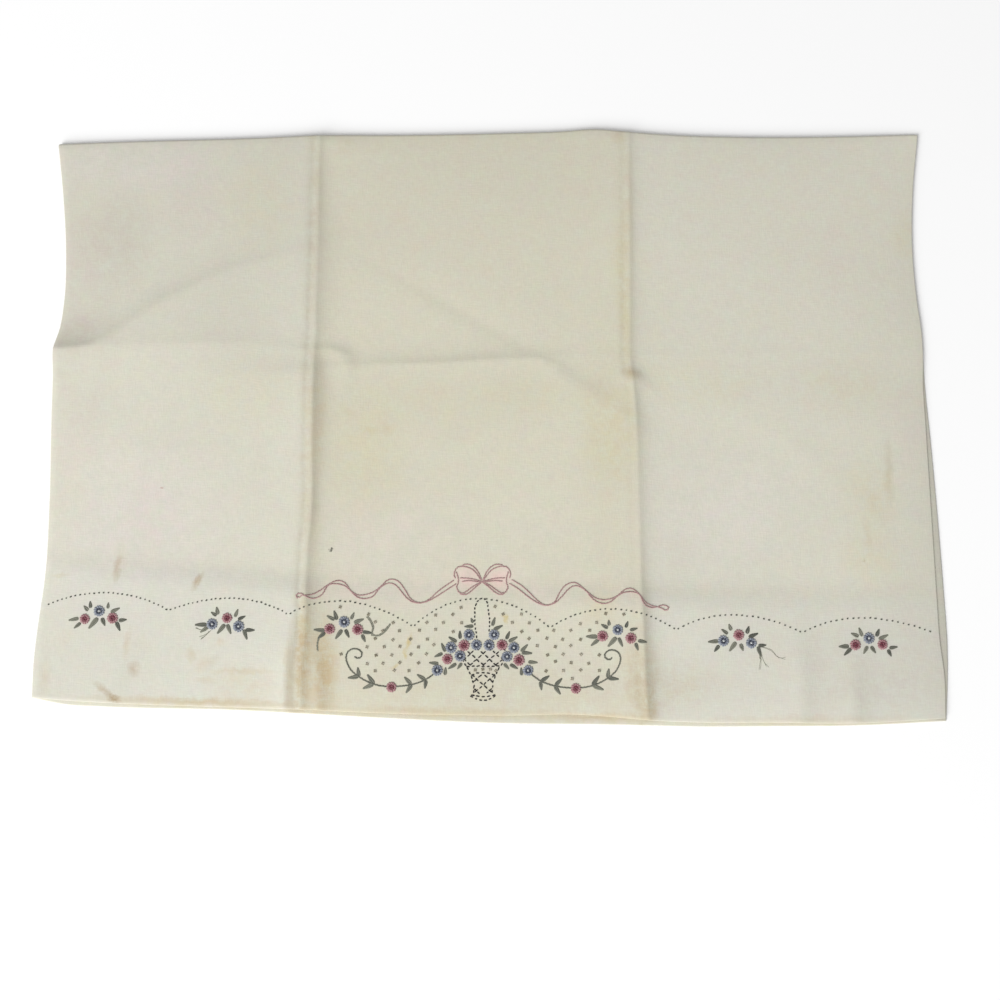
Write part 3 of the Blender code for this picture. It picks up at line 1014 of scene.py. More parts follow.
def cotton():
    """Plain-woven cotton aged to cream. The weave with its thicker threads, the tints of panels and
    hem, and the painted shade over the upper part of the left panel, follow the cloth; mottling,
    stains and patches of painted shade lie where they are."""
    material, shader, start = new_material("cream_cotton", 0.85, sheen=0.08)
    place = start.node("ShaderNodeTexCoord", output=3)
    cloth = start.node("ShaderNodeUVMap", {"uv_map": "thread"})
    across, up = part(cloth, 0), part(cloth, 1)

    left_crease, right_crease = (share * WIDTH for share in LONG_CREASES)
    cross_crease = CROSS_CREASE * HALF_LENGTH
    middle = within(across, left_crease, right_crease, PANEL_EDGE)
    left = fade(across, left_crease + PANEL_EDGE, left_crease - PANEL_EDGE)
    above = fade(up, *(cross_crease + edge for edge in SHADE_ABOVE_EDGES))
    slant = (HEM_DEPTHS[0] - HEM_DEPTHS[1]) / WIDTH
    hem = fade(up + across * slant, *(HEM_DEPTHS[0] + edge for edge in HEM_EDGES))
    colour = multiply(middle, (*CREAM, 1), MIDDLE_PANEL)
    # painted shade over the left panel above the cross crease
    colour = multiply(above * left, colour, SHADE_ABOVE_CREASE)
    colour = multiply(hem * (1 - middle * HEM_LOSS), colour, TURNED_HEM)

    mottling = noise(place, MOTTLES, detail=4.0, roughness=0.8, output=1)
    clouds = ((part(mottling, 0) - CLOUD_START) * CLOUD_RISE).clamped()
    # the wide stains and patches of painted shade, and the darker bands along the creases, worked
    # out at the case's points
    patches = start.node("ShaderNodeAttribute", {"attribute_name": "patches"}, output=1)
    colour = multiply(clouds, colour, patches)
    aside = vector_math("MULTIPLY_ADD", mottling, (STRAY, STRAY, 0), (-STRAY / 2, -STRAY / 2, 0))
    strayed = vector_math("ADD", place, aside)
    for stain in STAINS:
        colour = stained(strayed, colour, stain)
    mottling = vector_math("MULTIPLY_ADD", mottling, (MOTTLING,) * 3, (1 - MOTTLING / 2,) * 3)
    colour = vector_math("MULTIPLY", colour, mottling)

    weft, warp = crossed(cloth, YARN)
    yarns = weft + warp - 1
    weft, warp = crossed(cloth, SLUB, detail=1.0)
    slubs = fade(weft, *SLUB_EDGES) + fade(warp, *SLUB_EDGES)
    clumps = noise(place, CLUMPS) - 0.5
    shade = 1 + yarns * YARN_SHADE + slubs * SLUB_SHADE + clumps * CLUMP_SHADE
    join_to(shader, "Base Color", brightened(colour, shade))
    join_to(shader, "Normal", bump(yarns * 0.5 + 0.5, WEAVE_DEPTH))
    return material


FLOOR_REACH = 3.0  # to each side, in metres
FLOOR_WHITE = (0.93, 0.93, 0.93, 1)


def make_floor():
    """A plain pale surface under the case."""
    material, shader, _ = new_material("pale_floor", 0.9)
    shader.inputs["Base Color"].default_value = FLOOR_WHITE
    corners = FLOOR_REACH * np.array([(-1, -1, 0), (1, -1, 0), (1, 1, 0), (-1, 1, 0)], float)
    quad = np.array([[0, 1, 2, 3]])
    floor = add_mesh("floor", corners, [quad], [corners[:, :2]], material)


# ---- Embroidery ----


class Stitches(NamedTuple):
    """A batch of stitches, as arrays with a row for each: both ends on the cloth, how wide and
    how high the thread lies, how far its middle bows to its left, and its shade of colour."""

    start: np.ndarray
    end: np.ndarray
    width: np.ndarray
    height: np.ndarray
    bow: np.ndarray
    tone: np.ndarray


THREAD_HEIGHT = 0.62  # as a share of its width


def sewn(start, end, width, tone, height=None, bow=0.0):
    """A batch of stitches from places of any shape, in metres; numbers stand for all of them."""
    start, end = np.broadcast_arrays(start, end)
    shape = start.shape[:-1]
    values = [width, width * THREAD_HEIGHT if height is None else height, bow, tone]
    values = [np.broadcast_to(value, shape).ravel().astype(float) for value in values]
    return Stitches(start.reshape(-1, 2), end.reshape(-1, 2), *values)


def together(batches):
    """Several batches as one."""
    return Stitches(*(np.concatenate(parts) for parts in zip(*batches)))


def uneven(stitches, shift, shade):
    """The same stitches as a hand makes them: ends a little off and shades a little uneven."""
    off = hand.normal(0, shift, (2, *stitches.start.shape))
    tone = stitches.tone + hand.normal(0, shade, len(stitches.tone))
    return stitches._replace(start=stitches.start + off[0], end=stitches.end + off[1], tone=tone)


STATIONS = np.array((0.0, 0.06, 0.26, 0.5, 0.74, 0.94, 1.0))  # along a stitch; the ends are points
ROUND = 6  # sides of a thread
PERCH = 0.75  # how high the middle of a section stands on the cloth, in its own half heights
DIP = 0.1  # how far a stitch sinks into the cloth, in its height


def stitch_mesh(stitches):
    """Each stitch as a closed grain that lies on the cloth: six-sided sections stand along a line
    that may bow aside as a parabola. Their size is the square root of 1 less the fourth power of
    how near they are to an end, and both ends dip into the cloth."""
    run = stitches.end - stitches.start
    length = np.hypot(*run.T)
    left = left_of(run)
    t = STATIONS
    size = np.sqrt(1 - (2 * t - 1) ** 4)
    bowed = stitches.bow[:, None] * (1 - (2 * t - 1) ** 2)
    middle = stitches.start[:, None] + run[:, None] * t[:, None] + left[:, None] * bowed[..., None]
    angle = 2 * np.pi * np.arange(ROUND) / ROUND
    half_width = stitches.width[:, None] / 2 * size
    half_height = stitches.height[:, None] / 2 * size
    aside = half_width[..., None] * np.cos(angle)
    flat = middle[:, :, None] + left[:, None, None] * aside[..., None]
    lift = half_height[..., None] * (np.sin(angle) + PERCH) - DIP * stitches.height[:, None, None]
    ground = top_surface(flat[..., 0].ravel(), flat[..., 1].ravel()).reshape(lift.shape)
    points = np.concatenate([flat, (ground + lift)[..., None]], axis=3)

    # One point stands at each end, and rings of them between
    rings = points[:, 1:-1].reshape(len(run), -1, 3)
    points = np.concatenate([points[:, :1, 0], rings, points[:, -1:, 0]], axis=1)
    side = np.arange(ROUND)
    after = (side + 1) % ROUND
    bands = len(t) - 3
    first = 1 + ROUND * np.arange(bands)[:, None]
    quads = np.stack([first + side, first + after, first + ROUND + after, first + ROUND + side], 2)
    last = points.shape[1] - 1
    cap = 1 + ROUND * bands
    fans = np.concatenate([
        np.stack([side * 0, 1 + after, 1 + side], axis=1),
        np.stack([side * 0 + last, cap + side, cap + after], axis=1),
    ])
    along = np.repeat(t[1:-1], ROUND)
    along = np.concatenate([[0], along, [1]])
    quad_side = np.stack([side, side + 1, side + 1, side], axis=1) / ROUND
    quad_side = np.broadcast_to(quad_side, (bands, ROUND, 4)).reshape(-1, 4)
    fan_side = np.tile(np.stack([side + 0.5, side + 0.5, side + 0.5], axis=1) / ROUND, (2, 1))

    each = np.arange(len(run))[:, None, None] * points.shape[1]
    polygons, uvs = [], []
    for faces, round_thread in ((quads.reshape(-1, 4), quad_side), (fans, fan_side)):
        polygons.append((each + faces).reshape(-1, faces.shape[1]))
        u = along[faces] * length[:, None, None]
        v = np.broadcast_to(round_thread, u.shape)
        uvs.append(np.stack([u, v], axis=3))
    tone = np.repeat(stitches.tone, points.shape[1])
    return points.reshape(-1, 3), polygons, uvs, tone


def sew(name, material, batches):
    """A piece of embroidery from batches of stitches, riding on the case."""
    points, polygons, uvs, tone = stitch_mesh(together(batches))
    piece = add_mesh(name, points, polygons, uvs, material)
    shade = piece.data.attributes.new("tone", "FLOAT", "POINT")
    shade.data.foreach_set("value", tone)
    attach(piece, "root")


LINE_POINTS = 200


def measured(places):
    """A smooth curve through places in mm as a function from distance along it to a place, both
    in metres, and its length."""
    line, _ = smooth_line(np.array(places, float) * MM, LINE_POINTS)
    at = so_far(np.hypot(*np.diff(line[:, :2], axis=0).T))

    def place(distance):
        return np.stack([np.interp(distance, at, line[:, k]) for k in range(2)], axis=-1)

    return place, at[-1]


STEM_STITCH = 2.7 * MM
STEM_PITCH = 1.9 * MM
STEM_LEAN = 0.2  # how far beside its line a stitch begins and ends, in its width


def stem_line(places, width, tone, stitch=STEM_STITCH, pitch=STEM_PITCH):
    """Stem stitch along a line: each stitch starts on its right and ends on its left, beside the
    start of the next."""
    place, length = measured(places)
    middle = np.arange(pitch / 2, length, pitch)
    start, end = (place(np.clip(middle + s * stitch / 2, 0, length)) for s in (-1, 1))
    aside = left_of(end - start) * width * STEM_LEAN
    return sewn(start - aside, end + aside, width, tone)


def running_line(places, width, tone, stitch, gap):
    """Running stitch along a line: dashes with gaps."""
    place, length = measured(places)
    count = max(1, int(round((length + gap) / (stitch + gap))))
    pitch = (length + gap) / count
    start = np.arange(count) * pitch
    return sewn(place(start), place(start + pitch - gap), width, tone)


def around(angle):
    """The directions at angles, each one long."""
    return np.stack([np.cos(angle), np.sin(angle)], axis=-1)


# A knot, in its own radii
KNOT_THREAD = 1.7
KNOT_HEIGHT = 1.3
KNOT_BULGE = 0.2
KNOT_CORNERS = np.radians((20, 110, 200, 290))  # where its stitches meet


def knot(centre, radius, tone, height=KNOT_HEIGHT):
    """A knot: the thread wound once round on itself, as four short bowed stitches."""
    angle = KNOT_CORNERS + hand.uniform(0, 2 * np.pi)
    places = centre + radius * around(angle)
    ahead = np.roll(places, -1, axis=0)
    bow = -radius * KNOT_BULGE
    return sewn(places, ahead, radius * KNOT_THREAD, tone, height=radius * height, bow=bow)


# A leaf, as shares of its length where nothing else is said
LEAF_STITCHES = 7  # on each side of its vein
LEAF_STARTS = 0.82 * np.arange(LEAF_STITCHES) / LEAF_STITCHES  # of them, on the vein
LEAF_SLANT = 0.30  # how far ahead of its start each stitch ends
LEAF_BULGE = 0.75  # power of the share along it, which moves its widest place to the base
LEAF_PART = 0.08  # how far beside the vein the stitches start, as a share of its width
LEAF_THREAD = 0.16
LEAF_HEIGHT = 0.42 * MM
LEAF_SHADE = 0.06  # how much its right half is paler and its left half darker


def leaf(base, tip, width, tone):
    """A leaf in fishbone stitch: from its vein each stitch slants forward to one edge, which
    bulges as a sine of a power of the share along it."""
    vein = tip - base
    left = left_of(vein)
    finish = np.clip(LEAF_STARTS + LEAF_SLANT, 0, 1)
    reach = width / 2 * np.sin(np.pi * finish**LEAF_BULGE)
    thread = LEAF_THREAD * np.hypot(*vein)
    batches = []
    for side in (-1, 1):
        start = base + vein * LEAF_STARTS[:, None] + left * side * LEAF_PART * width
        end = base + vein * finish[:, None] + left * (side * reach[:, None])
        batches.append(sewn(start, end, thread, tone - LEAF_SHADE * side, height=LEAF_HEIGHT))
    return together(batches)


def at_mm(x, y):
    """A place on the cloth, given in mm."""
    return np.array((x, y)) * MM


class Scallop(NamedTuple):
    """Where a scallop begins, how far it rises in its middle, how far right its top leans and how
    many stitches it has."""

    x: float
    y: float
    rise: float
    lean: float
    stitches: int


SCALLOPS = (
    Scallop(-262.3, -112.4, 8.8, 0.05, 27),
    Scallop(-189.7, -115.6, 8.5, 0.15, 27),
    Scallop(-119.0, -118.2, 11.2, -0.10, 26),
    Scallop(-46.0, -125.3, 16.8, -0.10, 29),
    Scallop(34.2, -125.8, 11.5, -0.03, 26),
    Scallop(108.0, -127.0, 9.6, -0.10, 24),
    Scallop(182.2, -128.8, 8.6, -0.22, 24),
    Scallop(259.6, -128.2, 0.0, 0.00, 0),
)
ARCH_POWER = 0.95  # a little fuller than a parabola
ARCH_POINTS = 60


def scallop_height(x):
    """How far up the scalloped line runs at places across, in mm: between two cusps a straight
    line plus nearly a parabola, whose top may lean aside."""
    cusps = column(SCALLOPS, "x")
    low = np.clip(np.searchsorted(cusps, x) - 1, 0, len(SCALLOPS) - 2)
    t = (x - cusps[low]) / (cusps[low + 1] - cusps[low])
    straight = np.interp(x, cusps, column(SCALLOPS, "y"))
    leaning = t - column(SCALLOPS, "lean")[low] * t * (1 - t)
    arch = (4 * leaning * (1 - leaning)).clip(0) ** ARCH_POWER
    return straight + column(SCALLOPS, "rise")[low] * arch


DOT_LENGTH = 1.15 * MM
DOT_WIDTH = 0.85 * MM


def scallop_dots():
    """Short stitches one after another along the scalloped line."""
    batches = []
    for here, after in zip(SCALLOPS, SCALLOPS[1:]):
        x = np.linspace(here.x, after.x, ARCH_POINTS)
        place, length = measured(np.stack([x, scallop_height(x)], axis=1))
        middle = (np.arange(here.stitches) + 0.5) * length / here.stitches
        ends = (place(middle + side * DOT_LENGTH / 2) for side in (-1, 1))
        batches.append(sewn(*ends, DOT_WIDTH, tone=0.3))
    return uneven(together(batches), shift=0.14 * MM, shade=0.22)


class RibbonPlace(NamedTuple):
    """A place on the ribbon's middle, and how far its two edges lie apart there, in mm."""

    x: float
    y: float
    spread: float


LEFT_RIBBON = (
    RibbonPlace(-110.0, -106.8, 0.0),
    RibbonPlace(-104.8, -107.5, 2.6),
    RibbonPlace(-100.6, -105.4, 2.8),
    RibbonPlace(-96.0, -100.4, 0.1),
    RibbonPlace(-91.0, -98.9, 2.0),
    RibbonPlace(-87.0, -99.8, 1.8),
    RibbonPlace(-83.4, -103.4, 0.1),
    RibbonPlace(-78.8, -107.2, 1.2),
    RibbonPlace(-75.0, -107.6, 2.2),
    RibbonPlace(-71.2, -106.8, 2.4),
    RibbonPlace(-65.2, -101.6, 0.1),
    RibbonPlace(-60.0, -98.2, 2.2),
    RibbonPlace(-56.4, -99.0, 2.6),
    RibbonPlace(-52.4, -103.4, 2.4),
    RibbonPlace(-47.4, -109.6, 1.0),
    RibbonPlace(-42.6, -111.3, 0.1),
    RibbonPlace(-38.6, -110.4, 0.3),
    RibbonPlace(-30.4, -104.8, 2.2),
    RibbonPlace(-21.4, -98.7, 2.5),
)
RIGHT_RIBBON = (
    RibbonPlace(11.0, -98.5, 2.6),
    RibbonPlace(16.2, -101.6, 2.7),
    RibbonPlace(21.4, -106.0, 2.4),
    RibbonPlace(26.4, -110.2, 1.2),
    RibbonPlace(31.8, -112.7, 0.1),
    RibbonPlace(36.8, -111.2, 0.4),
    RibbonPlace(41.0, -105.8, 2.6),
    RibbonPlace(44.6, -101.6, 2.8),
    RibbonPlace(48.2, -100.0, 2.0),
    RibbonPlace(54.8, -103.4, 0.1),
    RibbonPlace(60.2, -108.8, 1.4),
    RibbonPlace(64.8, -110.6, 2.2),
    RibbonPlace(68.6, -110.2, 2.0),
    RibbonPlace(73.8, -107.2, 0.1),
    RibbonPlace(78.2, -104.2, 1.4),
    RibbonPlace(81.4, -103.6, 2.2),
    RibbonPlace(86.2, -105.8, 0.1),
    RibbonPlace(90.4, -112.0, 1.4),
    RibbonPlace(93.2, -113.4, 1.4),
    RibbonPlace(97.2, -113.5, 0.0),
)
RIBBON_ENDS = (
    ((-110, -106.8), (-112.2, -105.3), (-114.6, -106.4), (-113.8, -108.9), (-112.4, -107.3),
     (-110, -106.8)),
    ((97.2, -113.5), (101.2, -112.3), (104.2, -114.4), (102.6, -115.9), (99.6, -114.2),
     (97.2, -113.5)),
)

BOW_KNOT = (-5.5, -98.8)
# The lines of the bow's right half, from its knot outwards, in mm; the left half mirrors them
BOW_LINES = (
    ((0.3, 0.8), (1.2, 3.2), (2.9, 6.6), (5.8, 9.5), (9.3, 10.6), (12.0, 9.9)),
    ((0.8, 1.0), (2.9, 4.4), (6.9, 8.1), (11.4, 9.2), (14.4, 9.0), (16.3, 6.5), (16.7, 3.4),
     (15.8, 1.8)),
    ((15.4, 6.2), (14.1, 1.6), (14.2, -1.2), (15.1, -2.4)),
    ((0.4, 0.2), (3.6, 1.2), (8.1, 2.2), (13.4, 2.4)),
    ((0.4, 0.0), (4.0, 0.3), (8.0, 0.8), (12.6, 0.2)),
    ((15.1, -2.2), (14.6, -5.4), (11.8, -6.9), (8.4, -4.9), (4.8, -2.2), (0.4, -0.2)),
    ((13.2, -6.9), (10.2, -7.7), (7.0, -5.8), (3.2, -2.4), (0.7, -0.6)),
    ((-1.0, 0.8), (1.0, -0.9)),
)
RIBBON_THREAD = 0.72 * MM
RIBBON_POINTS = 90  # along each half of it


def ribbon():
    """A narrow ribbon in two lines of stem stitch that part and meet where it twists, tied in a
    bow."""
    lines = list(RIBBON_ENDS)
    for table in (LEFT_RIBBON, RIGHT_RIBBON):
        line, tangents = smooth_line(np.array(table), RIBBON_POINTS)
        for side in (-0.5, 0.5):
            lines.append(line[:, :2] + side * left_of(tangents) * line[:, 2:].clip(0))
    for mirror in (-1, 1):
        for places in BOW_LINES:
            lines.append(np.array(places) * (mirror, 1) + BOW_KNOT)
    batches = [stem_line(line, RIBBON_THREAD, tone=0.5) for line in lines]
    return uneven(together(batches), shift=0.05 * MM, shade=0.12)


class Flower(NamedTuple):
    """A small round flower: its middle in mm, and whether it is blue or rose."""

    x: float
    y: float
    blue: bool


BOUQUET = (
    Flower(-13.2, -129.8, True),
    Flower(1.5, -129.8, True),
    Flower(-23.7, -137.2, True),
    Flower(-8.8, -135.7, True),
    Flower(-1.5, -135.9, True),
    Flower(13.1, -137.3, True),
    Flower(-18.4, -142.1, True),
    Flower(9.1, -142.4, True),
    Flower(-31.7, -150.4, True),
    Flower(21.3, -150.5, True),
    Flower(-16.1, -135.9, False),
    Flower(6.1, -135.7, False),
    Flower(-25.8, -143.9, False),
    Flower(16.1, -144.5, False),
    Flower(-58.4, -160.1, False),
    Flower(49.2, -160.9, False),
)


class Sprig(NamedTuple):
    """A sprig of three flowers: its middle one's place in mm, how far it is turned in degrees,
    and whether its middle flower is blue."""

    x: float
    y: float
    turn: float
    blue: bool


SPRIGS = (
    Sprig(-230.6, -115.8, 0, True),
    Sprig(-155.0, -120.0, -5, False),
    Sprig(-86.4, -122.3, -2, True),
    Sprig(73.7, -127.0, -4, True),
    Sprig(144.7, -129.9, -3, False),
    Sprig(221.3, -131.7, 0, True),
)
SIDE_FLOWERS = ((-8.2, -4.3), (7.9, -4.4))  # from the middle flower, in mm
SIDE_STRAY = 0.35  # of each, in mm
# The base and the tip of each leaf of a sprig, from its middle flower, in mm
SPRIG_LEAVES = (
    ((-6.4, 0.6), (-10.4, 2.9)),
    ((-4.8, 1.5), (-6.0, 6.0)),
    ((4.5, 1.2), (5.6, 5.6)),
    ((6.6, -0.2), (11.2, 2.0)),
    ((-11.8, -4.9), (-18.4, -5.2)),
    ((-11.0, -6.6), (-15.0, -10.2)),
    ((-0.8, -4.4), (-4.7, -9.8)),
    ((0.9, -4.5), (3.2, -9.0)),
    ((11.4, -5.6), (16.8, -5.8)),
    ((10.8, -6.6), (12.8, -11.2)),
)
# The same for the leaves among the basket's flowers, in mm
BOUQUET_LEAVES = (
    ((-10.6, -124.8), (-16.0, -125.0)),
    ((-10.8, -122.8), (-12.2, -120.0)),
    ((-18.4, -132.2), (-18.6, -127.4)),
    ((-20.4, -134.0), (-25.2, -131.0)),
    ((-27.0, -139.6), (-29.4, -134.6)),
    ((-28.6, -140.6), (-33.4, -142.6)),
    ((-31.0, -146.6), (-36.6, -146.0)),
    ((-27.2, -153.2), (-26.8, -148.6)),
    ((-20.6, -146.6), (-25.4, -149.6)),
    ((-17.4, -146.2), (-20.0, -149.8)),
    ((0.4, -124.6), (2.0, -119.6)),
    ((1.2, -126.8), (6.6, -124.4)),
    ((8.6, -132.4), (10.6, -127.8)),
    ((10.0, -133.8), (15.2, -131.0)),
    ((17.2, -139.6), (21.2, -135.4)),
    ((17.6, -140.2), (23.8, -140.6)),
    ((21.4, -145.6), (27.0, -146.0)),
    ((17.6, -153.4), (17.2, -148.8)),
    ((10.8, -147.0), (15.4, -149.6)),
    ((7.2, -146.6), (10.2, -149.8)),
)
LEAF_WIDTH = 1.95 * MM
LEAF_STRAY = 0.4  # of each end, in mm
LEAF_SIZES = (0.85, 1.15)
SPRIG_TONES = (0.15, 0.75)
BOUQUET_TONES = (0.25, 0.65)
BOUQUET_LEAF_WIDTH = 0.92 * LEAF_WIDTH

FLOWER_RADIUS = 3.35 * MM
FLOWER_SIZES = (0.92, 1.05)


class PetalRing(NamedTuple):
    """A ring of petals: where each begins and ends, as shares of the flower's radius, how many
    there are, how far each leans over in radians, its width, its height as a share of that, and
    its shade."""

    inner: float
    outer: float
    count: int
    lean: float
    width: float
    height: float
    tone: float


OUTER_PETALS = PetalRing(0.42, 1.00, 13, 0.35, 1.25 * MM, 0.55, 0.90)
INNER_PETALS = PetalRing(0.05, 0.62, 8, -0.50, 0.95 * MM, 1.045, 0.08)
EYE_RIM = 0.22  # where the inner petals of a blue flower begin, round its pale knot
EYE_RADIUS = 0.4 * MM
EYE_HEIGHT = 2.34  # in its radii
EYE_TONE = 0.7


def flowers():
    """The middle of every flower in metres, and whether it is blue."""
    places = [(at_mm(flower.x, flower.y), flower.blue) for flower in BOUQUET]
    for sprig in SPRIGS:
        middle = at_mm(sprig.x, sprig.y)
        places.append((middle, sprig.blue))
        turned = turned_by(sprig.turn)
        for side in SIDE_FLOWERS:
            off = hand.normal(0, SIDE_STRAY, 2)
            places.append((middle + turned @ (side + off) * MM, not sprig.blue))
    return places


def wheel(centre, radius, ring):
    """A ring of petals round a centre, each a stitch that leans over."""
    angle = hand.uniform(0, 2 * np.pi) + 2 * np.pi * np.arange(ring.count) / ring.count
    start = centre + ring.inner * radius * around(angle)
    end = centre + ring.outer * radius * around(angle + ring.lean)
    return sewn(start, end, ring.width, ring.tone, height=ring.width * ring.height)


def petals(centre, blue):
    """A flower: an outer ring of pale petals leaning one way and a darker inner ring, which
    leaves room for an eye in a blue one."""
    radius = FLOWER_RADIUS * hand.uniform(*FLOWER_SIZES)
    inner_ring = INNER_PETALS._replace(inner=EYE_RIM) if blue else INNER_PETALS
    rings = [wheel(centre, radius, ring) for ring in (OUTER_PETALS, inner_ring)]
    return uneven(together(rings), shift=0.09 * MM, shade=0.12)


def sprig_leaves():
    """All leaves of the sprigs."""
    batches = []
    for sprig in SPRIGS:
        turned = turned_by(sprig.turn)
        for base, tip in SPRIG_LEAVES:
            ends = np.array((base, tip)) + hand.normal(0, LEAF_STRAY, (2, 2))
            base, tip = (ends @ turned.T + (sprig.x, sprig.y)) * MM
            width = LEAF_WIDTH * hand.uniform(*LEAF_SIZES)
            batches.append(leaf(base, tip, width, hand.uniform(*SPRIG_TONES)))
    return together(batches)


def bouquet_leaves():
    """The leaves among the flowers of the basket."""
    batches = []
    for base, tip in BOUQUET_LEAVES:
        tone = hand.uniform(*BOUQUET_TONES)
        batches.append(leaf(at_mm(*base), at_mm(*tip), BOUQUET_LEAF_WIDTH, tone))
    return together(batches)


BASKET_MIDDLE = -4.9  # across, in mm
# The left vine from the basket to the middle of its curl, in mm; the right one mirrors it
VINE = (
    (-32.4, -151.4), (-35.2, -153.7), (-39.3, -156.3), (-46.6, -158.7), (-55.0, -159.8),
    (-62.0, -159.8), (-68.4, -158.6), (-76.8, -154.7), (-81.5, -151.0), (-84.3, -146.4),
    (-85.2, -142.6), (-83.7, -139.3), (-80.7, -137.8), (-77.5, -138.4), (-75.5, -140.9),
    (-76.6, -143.2), (-78.9, -143.7), (-80.2, -142.3),
)
VINE_LEAVES = (
    ((-38.8, -155.9), (-43.6, -152.8)),
    ((-38.2, -156.2), (-39.0, -161.2)),
    ((-47.0, -158.4), (-51.0, -154.2)),
    ((-46.6, -158.8), (-50.0, -163.6)),
    ((-68.6, -158.2), (-72.6, -152.8)),
    ((-69.0, -158.6), (-75.2, -161.0)),
    ((-77.4, -154.0), (-78.2, -148.6)),
    ((-77.8, -154.2), (-84.0, -154.8)),
)
VINE_DROP = 0.8  # how far lower the right vine lies, in mm
VINE_THREAD = 0.85 * MM
VINE_LEAF_TONES = (0.3, 0.7)


def mirrored(places):
    """Places in mm on the other side of the basket, a little lower."""
    places = np.array(places, float)
    return np.stack([2 * BASKET_MIDDLE - places[..., 0], places[..., 1] - VINE_DROP], axis=-1)


def vines():
    """A curling vine on each side of the basket, with leaves in pairs."""
    batches = []
    left_side = (VINE, VINE_LEAVES)
    right_side = (mirrored(VINE), mirrored(VINE_LEAVES))
    for line, leaves in (left_side, right_side):
        stem = stem_line(line, VINE_THREAD, tone=0.4)
        batches.append(uneven(stem, shift=0.06 * MM, shade=0.1))
        for base, tip in leaves:
            tone = hand.uniform(*VINE_LEAF_TONES)
            batches.append(leaf(at_mm(*base), at_mm(*tip), LEAF_WIDTH, tone))
    return together(batches)


class BasketLevel(NamedTuple):
    """Half the basket's width at a height, in mm."""

    y: float
    half_width: float


BASKET = (
    BasketLevel(-163.6, 5.3),
    BasketLevel(-158.5, 5.6),
    BasketLevel(-153.4, 7.1),
    BasketLevel(-149.2, 9.4),
    BasketLevel(-144.4, 12.0),
    BasketLevel(-137.6, 13.6),
)
SIDE_TOP = -143.8  # where the stitches of its sides end under the flowers
SIDE_POINTS = 12  # of the line a side's stitches follow
BAND_POINTS = 9


class Band(NamedTuple):
    """A line round the basket: its height at the ends, half its width and how far its middle
    bows up, in mm."""

    y: float
    half_width: float
    bow: float


BASKET_BANDS = (
    Band(-148.1, 9.9, 0.0),
    Band(-153.4, 7.1, 1.5),
    Band(-164.5, 7.2, -1.3),
    Band(-165.2, 7.5, -2.6),
)


class Lattice(NamedTuple):
    """A latticed part of the basket: its bottom, its top and the height at which two of its
    lines cross in the middle, in mm."""

    bottom: float
    top: float
    crossing: float


LATTICE_PARTS = (
    Lattice(-163.8, -152.8, -158.9),
    Lattice(-147.8, -137.2, -147.4),
)
LATTICE_PITCH = 7.5
LATTICE_SLOPE = 0.88
LATTICE_NUMBERS = range(-3, 4)  # of its lines, from the middle one
LATTICE_INSET = 0.2  # from the basket's sides, in mm
LATTICE_SAMPLES = 60
LATTICE_LEAST = 8  # samples inside the basket, for a line long enough to sew

# The basket's handle, in mm
HANDLE = (
    (-8.6, -131.6), (-9.6, -126.0), (-9.9, -118.0), (-9.3, -112.0), (-7.4, -109.2),
    (-5.0, -108.7), (-2.9, -110.3), (-1.9, -114.6), (-1.2, -121.6), (-1.4, -128.0),
)
LATTICE_DASH = 2.5 * MM
BASKET_DASH = 2.0 * MM
HANDLE_DASH = 1.55 * MM
DASH_GAP = 0.85 * MM
DASH_WIDTH = 0.78 * MM
BASKET_TONE = 0.2
LATTICE_TONE = 0.25


def basket_half_width(y):
    """Half the basket's width at heights, in mm."""
    return np.interp(y, column(BASKET, "y"), column(BASKET, "half_width"))


def lattice_lines():
    """Slanting lines both ways across the basket, each cut to where it lies inside."""
    lines = []
    for lattice in LATTICE_PARTS:
        y = np.linspace(lattice.bottom, lattice.top, LATTICE_SAMPLES)
        for slope in (-LATTICE_SLOPE, LATTICE_SLOPE):
            for number in LATTICE_NUMBERS:
                x = number * LATTICE_PITCH + (y - lattice.crossing) / slope
                inside = np.abs(x) < basket_half_width(y) - LATTICE_INSET
                if inside.sum() > LATTICE_LEAST:
                    kept = np.stack([x[inside] + BASKET_MIDDLE, y[inside]], axis=1)
                    lines.append(kept[[0, len(kept) // 2, -1]])
    return lines


def basket():
    """The basket in running stitch: its sides, the lines round it, lattice and tall handle."""
    lines = []
    y = np.linspace(BASKET[0].y, SIDE_TOP, SIDE_POINTS)
    for side in (-1, 1):
        lines.append(np.stack([BASKET_MIDDLE + side * basket_half_width(y), y], axis=1))
    across = np.linspace(-1, 1, BAND_POINTS)
    for band in BASKET_BANDS:
        x = BASKET_MIDDLE + across * band.half_width
        lines.append(np.stack([x, band.y + band.bow * (1 - across**2)], axis=1))
    batches = [running_line(line, DASH_WIDTH, BASKET_TONE, BASKET_DASH, DASH_GAP) for line in lines]
    batches.append(running_line(HANDLE, DASH_WIDTH, BASKET_TONE, HANDLE_DASH, DASH_GAP))
    for line in lattice_lines():
        batches.append(running_line(line, DASH_WIDTH, LATTICE_TONE, LATTICE_DASH, DASH_GAP))
    return uneven(together(batches), shift=0.14 * MM, shade=0.15)


